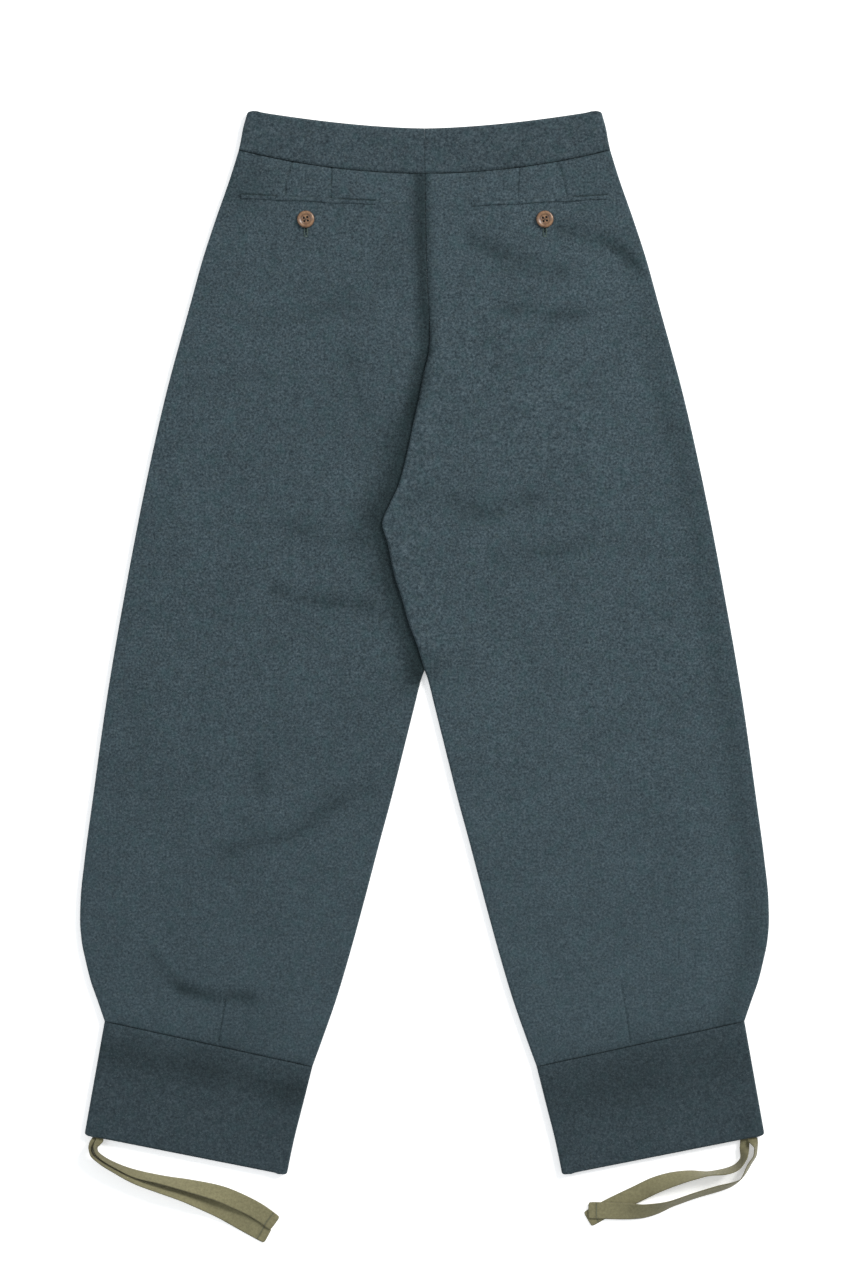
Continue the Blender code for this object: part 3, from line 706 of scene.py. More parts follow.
# %% Outline of a leg
SEWN_GAP = 0.06          # sewn pieces touch, so the gap of the solids is nearly closed
SIGN = {"left": -1, "right": 1}
SEAM_ROWS = (0.0, 0.35, 0.8, 1.4, 2.2, 3.2, 4.6, 6.5)    # how far from a seam its rows lie
SEAM_DIP = 0.6           # how deep the cloth sinks along a seam
TURN_IN = (0.75, 1.1)    # how much further it turns into the seam, and how wide
FOLD_FADE = (4, 34)      # distances from an edge between which the folds set in
SEAM_FADE = (4, 14)      # the same for the dip beside a seam across the panel
PUCKER_FADE = (6, 16)
# Painted shade at the bottom of a seam
SEAM_SHADE = (0.5, 0.8)     # strength and width of the paint in a seam


def inner_drop(v):
    return WAIST_SEAM_CENTRE + v * PANEL_LENGTH


def row_at(drop):
    return (drop - WAIST_SEAM_CENTRE) / PANEL_LENGTH


def inseam_across(drop):
    return curve_at(INSEAM, drop, "across") if drop > FORK_DROP else SEWN_GAP / 2


def outer_place(sign, v):
    """The side seam, from the waist at v = 0 to the cuff at v = 1."""
    drop = WAIST_SEAM_SIDE + v * (CUFF_SEAM_OUTER[1] - WAIST_SEAM_SIDE)
    return Vector((sign * curve_at(OUTSEAM, drop, "across"), TOP_Y - drop))


def back_inner_x(side, drop):
    """x of a back panel's inner edge, and how much of the panel is hidden there."""
    if drop > FORK_DROP:
        across = inseam_across(drop)
        return (across if side == "right" else -across), 0.0
    crest = curve_at(CREST, drop, "across")
    if side == "right":
        return crest, 0.0
    cover = smoothstep(LAP_START, LAP_START + 40, drop)
    cover *= 1 - smoothstep(LAP_END - 25, LAP_END, drop)
    hidden = LAP_SHARE * cover * max(0.0, -crest)
    return crest - SEWN_GAP + hidden, hidden


def waist_curve(v):
    return (WAIST_SEAM_CENTRE - WAIST_SEAM_SIDE) * (1 - smoothstep(0, 0.5, v))


def packed_rows(height, count, skipped=2, marks=()):
    """Places of a panel's rows: even, packed at both seams, with more at the marks."""
    ends = [distance / height for distance in SEAM_ROWS]
    even = [i / count for i in range(skipped, count + 1 - skipped)]
    return sorted({*ends, *(1 - end for end in ends), *even, *marks})


def leg_rows(spacing, marks):
    return packed_rows(PANEL_LENGTH, round(PANEL_LENGTH / spacing), marks=marks)


def seam_dip(from_seam, width=5.0):
    """How far the cloth sinks beside a seam and turns into it."""
    return SEAM_DIP * bell(from_seam, width) + stroke(TURN_IN, from_seam)


# %% [markdown]
# ### Back panels
# The two back panels carry nearly all that the photograph shows: two darts above each
# pocket, a short one above each cuff, the seat seam, and below it the fold of the right
# leg that lies over the left one. At its waist and cuff seams the cloth turns in.

# %% Places on the back panels
BACK_SPACING = 4.0       # of the rows
BACK_COLUMNS = 54
DART_SPREAD = 3.2 / 205  # share of a row's width with closer columns, at each dart
POCKET_ROWS = [row_at(91 + 0.9 * i) for i in range(31)]
FORK_ROWS = [row_at(FORK_DROP + part * (ROLLED_DROP - FORK_DROP)) for part in (0, 0.3, 0.7, 1)]
BUTTON_PLACE = {"left": (-123.8, 476.1), "right": (125.4, 476.1)}
# Middle line of each welt, from its outer end to its inner one
WELT_LINES = {
    "left": ((-191.9, 500.2), (-49.7, 493.5)), "right": ((191.9, 499.6), (49.7, 491.9)),
}
WELT_LENGTH = 143.0
WELT_WIDTH = 4.7
WELT_CLOTH = 1.3
WELT_STEPS = 90
# Painted shade along the welt's two edges
WELT_UPPER = (1.1, 0.85)     # strength and width of the line above the welt
WELT_LOWER = (0.35, 0.7)     # of the one below it
# Across the welt: share of its width from the middle, height above the panel, and how much
# each point has of the upper and of the lower line's painted shade
Lip = namedtuple("Lip", "part height upper lower")
WELT_PROFILE = [Lip(*row) for row in (
    (0.5, 0.0, 1.0, 0), (0.45, 0.15, 1.0, 0), (0.36, 0.4, 0.9, 0), (0.26, 0.55, 0.1, 0),
    (0.13, 0.62, 0, 0), (0.0, 0.62, 0, 0), (-0.13, 0.58, 0, 0), (-0.26, 0.48, 0, 0.1),
    (-0.38, 0.3, 0, 0.5), (-0.46, 0.1, 0, 0.6), (-0.5, 0.0, 0, 0.6),
)]


def welt_axes(side):
    """A welt's outer end, its direction and the way across it, upwards."""
    (x0, y0), (x1, y1) = WELT_LINES[side]
    along = Vector((x1 - x0, y1 - y0)).normalized()
    return x0, y0, along, Vector((-along.y, along.x)) * math.copysign(1, along.x)


def welt_place(side, x, y):
    """(run, aside): how far along a welt a place is, and how far above its middle."""
    x0, y0, along, upward = welt_axes(side)
    offset = Vector((x - x0, y - y0))
    return offset.dot(along), offset.dot(upward)


# %% Paint along the pockets and the seat
# How much darker each line of a welt gets towards the inner end
UPPER_END = {"left": 0.75, "right": 0.1}
LOWER_END = {"left": 0.0, "right": 0.5}


def upper_strength(side, run):
    """The upper line is strong in its outer quarter."""
    share = run / WELT_LENGTH
    outer_end = 0.75 * (1 - smoothstep(0.2, 0.3, share))
    return 0.25 + outer_end + UPPER_END[side] * smoothstep(0.66, 0.74, share)


def lower_strength(side, run):
    """The lower line is strong in its middle."""
    share = run / WELT_LENGTH
    middle = 0.45 * smoothstep(0.12, 0.25, share) * (1 - smoothstep(0.58, 0.68, share))
    return 0.3 + middle + LOWER_END[side] * smoothstep(0.75, 0.82, share)


def pocket_shade(side, x, y):
    """Painted shade of the two lines where the panel meets its welt."""
    run, aside = welt_place(side, x, y)
    inside = smoothstep(-1.5, 0.5, run) * (1 - smoothstep(-0.5, 1.5, run - WELT_LENGTH))
    upper = upper_strength(side, run) * stroke(WELT_UPPER, aside - WELT_WIDTH / 2 - 0.1)
    lower = lower_strength(side, run) * stroke(WELT_LOWER, aside + WELT_WIDTH / 2)
    return inside * (upper + lower)


PAINT_FADE = (0, 12)     # distances from an edge between which the paint of the folds sets in
SEAT_SHADE = {"left": (0.8, 7.5), "right": (0.6, 6.5)}    # strength and width at the seat seam
SEAT_END = (300, 345)    # drops between which the seat seam goes under the lap
LAP_BEGIN = (280, 350)   # drops between which the shade beside the lap sets in
LAP_SHADES = ((0.55, 15.0), (0.3, 28.0))
LAP_SHADE_END = 625
ANKLE_SHADE = (0.14, 15.0)   # above the cuff seam
OUTER_SHADE = (0.29, 15.0)   # beside the right leg's side seam
OUTER_SHADE_PLACE = 18
OUTER_SHADE_BEGIN = (0.08, 0.3)      # shares of the panel's length


def centre_shade(side, drop, from_centre):
    """Paint beside the seat seam and, on the left leg, in the shade of the lap."""
    paint = (1 - smoothstep(*SEAT_END, drop)) * stroke(SEAT_SHADE[side], from_centre)
    if side == "left":
        lapped = smoothstep(*LAP_BEGIN, drop) * (1 - smoothstep(FORK_DROP, LAP_SHADE_END, drop))
        paint += lapped * sum(stroke(shade, from_centre) for shade in LAP_SHADES)
    return paint


# %% Back panels
def back_grid(side):
    inside = shares(BACK_COLUMNS, DART_SHARES, DART_SPREAD)
    outer = edge_arc(EDGE_RADIUS, 90)
    side_level = 2 * EDGE_RADIUS + SEAM_GAP
    rest = side_level + PUFF
    margin = LAP_MARGIN if side == "left" else 0.0
    grid = []
    for v in leg_rows(BACK_SPACING, POCKET_ROWS + FORK_ROWS):
        drop = inner_drop(v)
        inner_x, hidden = back_inner_x(side, drop)
        start = outer_place(SIGN[side], v)
        stop = Vector((inner_x, TOP_Y - drop))
        length = (stop - start).length
        inner = edge_arc(EDGE_RADIUS, curve_at(CENTRE_ROLL[side], drop, "angle"))
        level = curve_at(CENTRE_ROLL[side], drop, "level")
        from_seam = min(v, 1 - v) * PANEL_LENGTH
        first = outer[-1][0]
        shown = length - hidden - margin if margin else length - inner[-1][0]
        shifts = dart_shifts(side, start, stop, lambda u: (length * u - first) / (shown - first))
        moved = [s + sum(shift * bell(s - c, DART_DRAW) for c, shift in shifts) for s in inside]
        row = []
        for inward, sink in across_row(length, outer, inner, moved, margin, hidden):
            u = inward / length
            x, y = start.lerp(stop, u)
            y -= waist_curve(v) * u * (1 - u)
            from_edge = min(inward, length - inward)
            from_centre = max(0.0, length - inward - hidden - margin)
            shown_edge = min(inward, from_centre)
            folds = fold_depth(x, y, FOLDS)
            z = rest + (side_level - rest) * bell(inward, SIDE_DIP_WIDTH)
            z += (level - rest) * bell(from_centre, CENTRE_DIP_WIDTH[side])
            z -= smoothstep(*FOLD_FADE, shown_edge) * (folds + unevenness(x, y)) + sink
            z -= seam_dip(from_seam) * smoothstep(*SEAM_FADE, from_edge)
            z += smoothstep(*PUCKER_FADE, from_edge) * pucker(inward, from_seam)
            from_dart = min(distance_to_line(x, y, dart) for dart in DARTS[side])
            z -= stroke(DART_GROOVE, from_dart) + stroke(DART_HOLLOW, from_dart)
            crease = stroke(DART_SHADE, from_dart) + stroke(SEAM_SHADE, from_seam)
            crease += FOLD_SHADE * smoothstep(*PAINT_FADE, shown_edge) * max(0.0, folds)
            crease += spot_shade(x, y) + pocket_shade(side, x, y)
            crease += stroke(ANKLE_SHADE, (1 - v) * PANEL_LENGTH)
            crease += centre_shade(side, drop, from_centre)
            if side == "right":
                shade = stroke(OUTER_SHADE, inward - OUTER_SHADE_PLACE)
                crease += shade * smoothstep(*OUTER_SHADE_BEGIN, v)
            row.append((x, y, z, min(1.0, crease)))
        grid.append(row)
    return grid


backs = {
    side: cloth(f"back_{side}", back_grid(side), CLOTH, 1, material)
    for side, material in (("left", wool), ("right", wool_painted_light))
}

# %% [markdown]
# ### Front panels
# The fronts lie on the floor under the backs. They only show along the side seams and
# from below, so they get a wider grid and a few shallow creases of their own.

# %% Front panels
FRONT_SPACING = 8.0
FRONT_COLUMNS = 28
FRONT_FADE = (8, 34)


def front_grid(side):
    outer = edge_arc(EDGE_RADIUS, 90)
    grid = []
    for v in leg_rows(FRONT_SPACING, FORK_ROWS):
        drop = inner_drop(v)
        start = outer_place(SIGN[side], v)
        stop = Vector((SIGN[side] * inseam_across(drop), TOP_Y - drop))
        length = (stop - start).length
        inner = edge_arc(EDGE_RADIUS, curve_at(CENTRE_ROLL["front"], drop, "angle"))
        crease = stroke(SEAM_SHADE, min(v, 1 - v) * PANEL_LENGTH)
        row = []
        for inward, sink in across_row(length, outer, inner, shares(FRONT_COLUMNS)):
            u = inward / length
            x, y = start.lerp(stop, u)
            y -= waist_curve(v) * u * (1 - u)
            from_edge = min(inward, length - inward)
            lift = smoothstep(*FRONT_FADE, from_edge) * fold_depth(x, y, FRONT_FOLDS)
            row.append((x, y, sink + lift, crease))
        grid.append(row)
    return grid


fronts = {side: cloth(f"front_{side}", front_grid(side), CLOTH, -1, wool) for side in SIGN}

# %% [markdown]
# ### Waistband
# The waistband is two layers of cloth turned over at the top, so its upper edge is round
# and its lower one disappears into the waist seam. It is seamed at the centre back, where
# a fine line runs down it.

# %% Waistband
LAYERS = {"back": 1, "front": -1}    # which way the outer face of a layer looks
BAND_LEVEL = 2 * BAND_RADIUS + SEAM_GAP
BAND_TOP_CURVE = 1.64    # power of the upper edge's rise across the band
BAND_CENTRE_ANGLE = 12   # roll of the band at its centre seam, in degrees
BAND_SEAM_WIDTH = 2.5    # of the dip beside the waist seam
TOP_DIP = (0.4, 3.0)     # depth and width of the dip below the upper edge
TOP_TURN = (1.5, 1.1)    # how far the cloth turns over at that edge
# Painted shade along the turned upper edge and beside the centre seam
TOP_SHADE = (0.3, 0.8)
MIDDLE_LINE = (0.12, 0.5)    # paint of the fine line beside the centre seam
BAND_COLUMNS = 62


def waist_seam_drop(across):
    lift = WAIST_SEAM_CENTRE - WAIST_SEAM_SIDE
    return WAIST_SEAM_CENTRE - lift * (across / WAIST_HALF) ** 2


def cross_gap(layer):
    """Gap at a seam across the garment. Seen from below it has to be closed."""
    return SEAM_GAP if layer == "back" else SEWN_GAP


def band_grid(side, layer):
    gap = cross_gap(layer)
    height = WAIST_SEAM_CENTRE - BAND_TOP_CENTRE
    outer = edge_arc(BAND_RADIUS, 90)
    inner = edge_arc(BAND_RADIUS, BAND_CENTRE_ANGLE)
    grid = []
    for v in packed_rows(height, 18, 3):
        half = curve_at(WAISTBAND_SIDE, v, "across")
        from_seam, from_top = v * height, (1 - v) * height
        row = []
        for inward, sink in across_row(half - SEWN_GAP / 2, outer, inner, shares(BAND_COLUMNS)):
            across = half - inward
            seam = waist_seam_drop(across) - gap
            top = BAND_TOP_CENTRE - BAND_TOP_RISE * (across / WAIST_HALF) ** BAND_TOP_CURVE
            drop = seam + v * (top - seam)
            dip = seam_dip(from_seam, BAND_SEAM_WIDTH)
            dip += stroke(TOP_DIP, from_top) + stroke(TOP_TURN, from_top)
            dip *= smoothstep(*SEAM_FADE, inward)
            x, y = SIGN[side] * across, TOP_Y - drop
            if layer == "back":
                ease = smoothstep(3, 12, min(inward, from_seam, from_top))
                z = BAND_LEVEL - dip - sink - ease * unevenness(x, y)
                z += smoothstep(*PUCKER_FADE, inward) * pucker(across, from_seam)
            else:
                z = sink + 0.5 * dip * bell(from_top, 3.0)
            crease = stroke(SEAM_SHADE, from_seam) + stroke(TOP_SHADE, from_top)
            crease += stroke(MIDDLE_LINE, across - 1.0)
            row.append((x, y, z, min(1.0, crease)))
        grid.append(row)
    return grid


for side in SIGN:
    for layer, outward in LAYERS.items():
        cloth(
            f"waistband_{layer}_{side}", band_grid(side, layer), BAND_CLOTH, outward, wool_band
        )


# %% [markdown]
# ### Cuffs
# The long ankle cuffs are faced, so they are as thick as the waistband and lie flatter and
# a little darker than the legs. The hem is turned in, with no stitches showing.

# %% Cuffs
HEM_CORNER = 3.0
HEM_TURN = (0.9, 0.9)    # how far the cloth turns in at the hem, and how wide
HEM_DIP = (0.25, 4.0)
# Painted shade in the turned hem and in the cuff seam
HEM_SHADE = (0.25, 0.8)
CUFF_SEAM_SHADE = (0.3, 0.8)
CUFF_SHADE = {"left": (0.36, 17.0), "right": (0.24, 28.0)}    # a soft shade across the cuff
CUFF_SHADE_PLACE = {"left": 29, "right": 38}    # its middle, below the seam
CUFF_COLUMNS = 60


def corner_inset(radius, from_edge):
    """How far a round corner draws in the side, this far from the edge."""
    t = max(0.0, 1 - from_edge / radius)
    return radius * (1 - math.sqrt(1 - t * t))


def cuff_edge(seam, hem, v):
    """(distance from the middle line, drop) between a corner at the seam and one at the hem."""
    return (a + v * (b - a) for a, b in zip(seam, hem))


def cuff_grid(side, layer):
    gap = cross_gap(layer)
    height = HEM_OUTER[1] - CUFF_SEAM_OUTER[1]
    edge = edge_arc(BAND_RADIUS, 90)
    grid = []
    for v in packed_rows(height, 32):
        shift = gap * (1 - v)
        outer_x, outer_drop = cuff_edge(CUFF_SEAM_OUTER, HEM_OUTER, v)
        _, inner_edge_drop = cuff_edge(CUFF_SEAM_INNER, HEM_INNER, v)
        inner_x = curve_at(CUFF_INNER_EDGE, inner_edge_drop, "across")
        start = Vector((SIGN[side] * outer_x, TOP_Y - outer_drop - shift))
        stop = Vector((SIGN[side] * inner_x, TOP_Y - inner_edge_drop - shift))
        from_seam, from_hem = v * height, (1 - v) * height
        inset = (stop - start).normalized() * corner_inset(HEM_CORNER, from_hem)
        start, stop = start + inset, stop - inset
        length = (stop - start).length
        row = []
        for inward, sink in across_row(length, edge, edge, shares(CUFF_COLUMNS)):
            x, y = start.lerp(stop, inward / length)
            from_edge = min(inward, length - inward)
            dip = seam_dip(from_seam) + stroke(HEM_TURN, from_hem) + stroke(HEM_DIP, from_hem)
            dip *= smoothstep(*SEAM_FADE, from_edge)
            if layer == "back":
                ease = smoothstep(3, 14, min(from_edge, from_seam, from_hem))
                z = BAND_LEVEL - dip - sink - ease * unevenness(x, y)
                z += smoothstep(*PUCKER_FADE, from_edge) * pucker(inward, from_seam)
            else:
                z = sink + 0.4 * dip
            crease = stroke(CUFF_SEAM_SHADE, from_seam) + stroke(HEM_SHADE, from_hem)
            crease += stroke(CUFF_SHADE[side], from_seam - CUFF_SHADE_PLACE[side])
            crease += spot_shade(x, y)
            row.append((x, y, z, crease))
        grid.append(row)
    return grid


for side in SIGN:
    for layer, outward in LAYERS.items():
        cloth(
            f"cuff_{layer}_{side}", cuff_grid(side, layer), BAND_CLOTH, outward, wool_cuff
        )


# %% [markdown]
# ### Pocket welts
# A welt is a narrow folded strip set into the slit of the pocket. Its two long edges are
# fine lines of painted shade, darker in some stretches than in others.
# It follows the panel under it, raised by its own thickness.

# %% Welts
WELT_WAVE = (0.4, 8.5)   # how far the lower edge strays, and how slowly


def back_height(x, y):
    """Height of a back panel's face away from its edges."""
    return 2 * EDGE_RADIUS + SEAM_GAP + PUFF - fold_depth(x, y, FOLDS) - unevenness(x, y)


def welt_grid(side):
    x0, y0, along, upward = welt_axes(side)
    stray, slowness = WELT_WAVE
    grid = []
    for lip in WELT_PROFILE:
        row = []
        for step in range(WELT_STEPS + 1):
            run = WELT_LENGTH * step / WELT_STEPS
            from_end = min(run, WELT_LENGTH - run)
            wave = stray * math.sin(run / slowness) * (lip.part < 0) * smoothstep(2, 20, from_end)
            place = Vector((x0, y0)) + along * run + upward * (WELT_WIDTH * lip.part + wave)
            height = lip.height * smoothstep(-1, 6, from_end)
            crease = lip.upper * upper_strength(side, run) + lip.lower * lower_strength(side, run)
            crease *= smoothstep(-2, 4, from_end)
            row.append((*place, back_height(*place) + SEAM_GAP + height, crease))
        grid.append(row)
    return grid


welts = {
    side: cloth(
        f"pocket_welt_{side}", welt_grid(side), WELT_CLOTH * 0.5, 1, material, f"cloth_welt_{side}"
    )
    for side, material in (("left", wool), ("right", wool_painted_light))
}

# %% [markdown]
# ### Buttons and buttonholes
# The buttons are the plain four-hole kind, dished in the middle with a raised round rim,
# brown with a soft shine. Half of the cross-section is turned round the axis, and four drilled
# holes are cut through. Thread crosses between the holes. Each button holds an upright
# buttonhole closed, whose lower end shows below it: a slit with close stitches on both
# sides, ending in a bar.

# %% Turned and drilled shapes
BUTTON_DIAMETER = 18.0
BUTTON_TURN = math.radians(10)
BUTTON_FACE = 1.4        # all that lies lower is the button's back
HOLE_DIAMETER = 2.3
HOLE_SPACING = 3.65
BUTTON_STEPS = 72
# Each row of the profile: share of the radius, height, and painted shade, which lies in the step of
# the dish, down the rim's outer side and all over the back
Turned = namedtuple("Turned", "share height crease")
BUTTON_PROFILE = [Turned(*row) for row in (
    (0.0, 1.7, 0.1), (0.30, 1.69, 0.1), (0.48, 1.72, 0.25), (0.55, 1.85, 0.75), (0.62, 2.14, 0.35),
    (0.69, 2.52, 0.0), (0.75, 2.74, 0.0), (0.80, 2.79, 0.0), (0.86, 2.70, 0.05), (0.92, 2.42, 0.2),
    (0.97, 2.00, 0.45), (1.0, 1.5, 0.7), (0.97, 1.0, 0.9), (0.90, 0.5, 1.0), (0.7, 0.05, 1.0),
    (0.0, 0.0, 1.0),
)]


def turned_mesh(name, profile, radius, steps):
    """A closed body of revolution from half its cross-section."""
    points, faces, rings = [], [], []
    for share, height, _ in profile:
        if share == 0:
            rings.append([len(points)])
            points.append((0, 0, height * MM))
            continue
        rings.append(list(range(len(points), len(points) + steps)))
        for step in range(steps):
            turn = 2 * math.pi * step / steps
            r = share * radius * MM
            points.append((r * math.cos(turn), r * math.sin(turn), height * MM))
    for inner, outer in zip(rings, rings[1:]):
        for step in range(steps):
            after = (step + 1) % steps
            if len(inner) == 1:
                faces.append((inner[0], outer[step], outer[after]))
            elif len(outer) == 1:
                faces.append((inner[step], outer[0], inner[after]))
            else:
                faces.append((inner[step], outer[step], outer[after], inner[after]))
    mesh = bpy.data.meshes.new(name)
    mesh.from_pydata(points, [], faces)
    return mesh


def drill(piece, places, diameter):
    """Cuts upright round holes through a piece and keeps the result as its mesh."""
    for x, y in places:
        profile = [Turned(0, 9, 0), Turned(1, 9, 0), Turned(1, -9, 0), Turned(0, -9, 0)]
        mesh = turned_mesh("drill", profile, diameter / 2, 24)
        cutter = add_object("drill", mesh)
        cutter.location = (x * MM, y * MM, 0)
        cut = piece.modifiers.new("hole", "BOOLEAN")
        cut.operation = "DIFFERENCE"
        cut.object = cutter
    bpy.context.view_layer.update()
    cut_piece = piece.evaluated_get(bpy.context.evaluated_depsgraph_get())
    whole = bpy.data.meshes.new_from_object(cut_piece)
    for cut in list(piece.modifiers):
        bpy.data.objects.remove(cut.object)
        piece.modifiers.remove(cut)
    piece.data = whole


# %% Buttons
def face_painted_shade(share):
    rows = [row for row in BUTTON_PROFILE if row.height > BUTTON_FACE]
    return curve_at(sorted(rows, key=lambda row: row.share), share, "crease")


HOLES = [(a * HOLE_SPACING / 2, b * HOLE_SPACING / 2) for a in (-1, 1) for b in (-1, 1)]
BUTTON_RADIUS = BUTTON_DIAMETER / 2
for side, (x, y) in BUTTON_PLACE.items():
    mesh = turned_mesh("button", BUTTON_PROFILE, BUTTON_RADIUS, BUTTON_STEPS)
    piece = add_object(f"button_{side}", mesh)
    drill(piece, HOLES, HOLE_DIAMETER)
    # Painted shade: the face takes it from the profile, the back and the holes are fully shaded.
    painted = piece.data.attributes.new("crease", "FLOAT", "POINT")
    for vertex, value in zip(piece.data.vertices, painted.data):
        share = vertex.co.xy.length / (BUTTON_RADIUS * MM)
        value.value = face_painted_shade(share) if vertex.co.z > BUTTON_FACE * MM else 1.0
    piece.data.shade_smooth()
    piece.data.materials.clear()
    piece.data.materials.append(horn)
    piece.location = Vector((x, y, back_height(x, y) + SEAM_GAP)) * MM
    piece.rotation_euler.z = BUTTON_TURN
    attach(piece, "root")
    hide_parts(f"pocket_button_{side}")
    print("button", side, "faces:", len(piece.data.polygons))


# %% Threads
def thread_runs(name, runs, thickness, material=thread):
    """Thread as round strands through runs of points in millimetres."""
    curve = bpy.data.curves.new(name, "CURVE")
    curve.dimensions = "3D"
    curve.bevel_depth = thickness / 2 * MM
    curve.bevel_resolution = 1
    curve.use_fill_caps = True
    for run in runs:
        spline = curve.splines.new("POLY")
        spline.points.add(len(run) - 1)
        for point, place in zip(spline.points, run):
            point.co = (*(Vector(place) * MM), 1)
    curve.materials.append(material)
    piece = add_object(name, curve)
    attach(piece, "root")
    print(name, "runs:", len(runs))
    return piece


# %% Thread of a button
CROSS_REACH = 0.6        # how far a strand goes towards its holes
CROSS_STEPS = 6
CROSS_HEIGHT, CROSS_FOOT = 1.82, 0.9     # of a strand above the panel, and where it goes down
CROSS_LIFT = 0.25        # how much higher the second pair lies where it crosses the first
STRAND_GAP = 0.34
BUTTON_THREAD = 0.24
HOLE_THREAD = 0.45
HEM_THREAD = 0.32


def button_cross(x, y):
    """Two strands from each hole to the one across, laid side by side."""
    low = back_height(x, y) + SEAM_GAP
    reach = HOLE_SPACING / 2 * CROSS_REACH
    cos, sin = math.cos(BUTTON_TURN), math.sin(BUTTON_TURN)
    runs = []
    for diagonal, lift in ((1, 0.0), (-1, CROSS_LIFT)):
        for strand in (-0.5, 0.5):
            run = []
            for step in range(-CROSS_STEPS, CROSS_STEPS + 1):
                t = step / CROSS_STEPS
                aside = STRAND_GAP * strand * (1 - 0.4 * abs(t))
                px, py = reach * t - aside * diagonal * 0.7, reach * t * diagonal + aside * 0.7
                z = CROSS_HEIGHT + lift * (1 - t * t) if abs(t) < 0.95 else CROSS_FOOT
                run.append((x + px * cos - py * sin, y + px * sin + py * cos, low + z))
            runs.append(run)
    return runs


# %% Buttonholes
STITCH_STEP = 0.72
FIRST_STITCH = 4         # below the button's centre, hidden by the button
STITCH_REACH = 2.1       # how far a stitch goes from the middle of the slit
STITCH_ARCH = ((0, 0.1), (0.15, 0.5), (0.55, 0.52), (0.9, 0.34), (1.0, -0.1))
SLIT_HALF = 0.95
SLIT_STEPS = 20
SLIT_RISE = 0.06         # height above the panel
SLIT_WALL = 0.05
SLIT_TAPER = 2.5
HOLE_LENGTH = 14.6       # from the button's centre to the lower end of the buttonhole
STITCHED_LENGTH = 17.6
BAR_STEP = 0.5
BAR_ARCH = ((-1.5, -0.1), (-1.2, 0.5), (1.2, 0.5), (1.5, -0.1))


def buttonhole_stitches(x, y):
    """Close stitches down both sides of the slit, and three across its end."""
    runs = []
    for i in range(int((STITCHED_LENGTH - FIRST_STITCH) / STITCH_STEP)):
        py = y - FIRST_STITCH - i * STITCH_STEP
        for hand in (-1, 1):
            jitter = 0.16 * math.sin(12.9 * i + 4.1 * hand)
            run = []
            for t, high in STITCH_ARCH:
                px = x + hand * (SLIT_HALF + (STITCH_REACH + jitter - SLIT_HALF) * t)
                run.append((px, py + 0.15 * t * hand, back_height(px, py) + high))
            runs.append(run)
    for i in range(3):
        py = y - STITCHED_LENGTH + BAR_STEP * (1 - i)
        low = back_height(x, py)
        runs.append([(x + px, py, low + high) for px, high in BAR_ARCH])
    return runs


def slit_grid(x, y):
    """A thin strip of painted shade where the slit opens, which narrows to nothing at both ends."""
    grid = []
    for run in [HOLE_LENGTH * step / SLIT_STEPS for step in range(SLIT_STEPS + 1)]:
        half = SLIT_HALF * smoothstep(0, SLIT_TAPER, min(run, HOLE_LENGTH - run))
        z = back_height(x, y - run) + SLIT_RISE
        grid.append([(x + hand * half, y - run, z, 1.0) for hand in (-1, 1)])
    return grid


for side, (x, y) in BUTTON_PLACE.items():
    cross = thread_runs(f"button_thread_{side}", button_cross(x, y), BUTTON_THREAD, brown_thread)
    hole = thread_runs(f"buttonhole_stitches_{side}", buttonhole_stitches(x, y), HOLE_THREAD)
    # The slit is a sheet that is wholly painted shade, for the shade inside the opening.
    opening = shell(f"buttonhole_slit_{side}", slit_grid(x, y), SLIT_WALL, 1, wool)


# %% [markdown]
# ### Ankle tapes
# Two cotton tapes leave the outer corner of each cuff. Where they turn they stand up on
# one edge, and further on they lie down on each other. The route and the tilt come from
# the same table as the solid's, and a tape is drawn narrower where it leaves its cuff,
# because it is folded there. The end of each tape is folded under and stitched across.

# %% Routes of the tapes
TAPE_WIDTH = 17.5
TAPE_CLOTH = 1.0
TAPE_STEPS = 150
TAPE_TREND = 7.0         # a tie's direction is taken this far before and after a place
HEM_LENGTH = 8.5
Keyed = namedtuple("Keyed", "length x y stand rise")
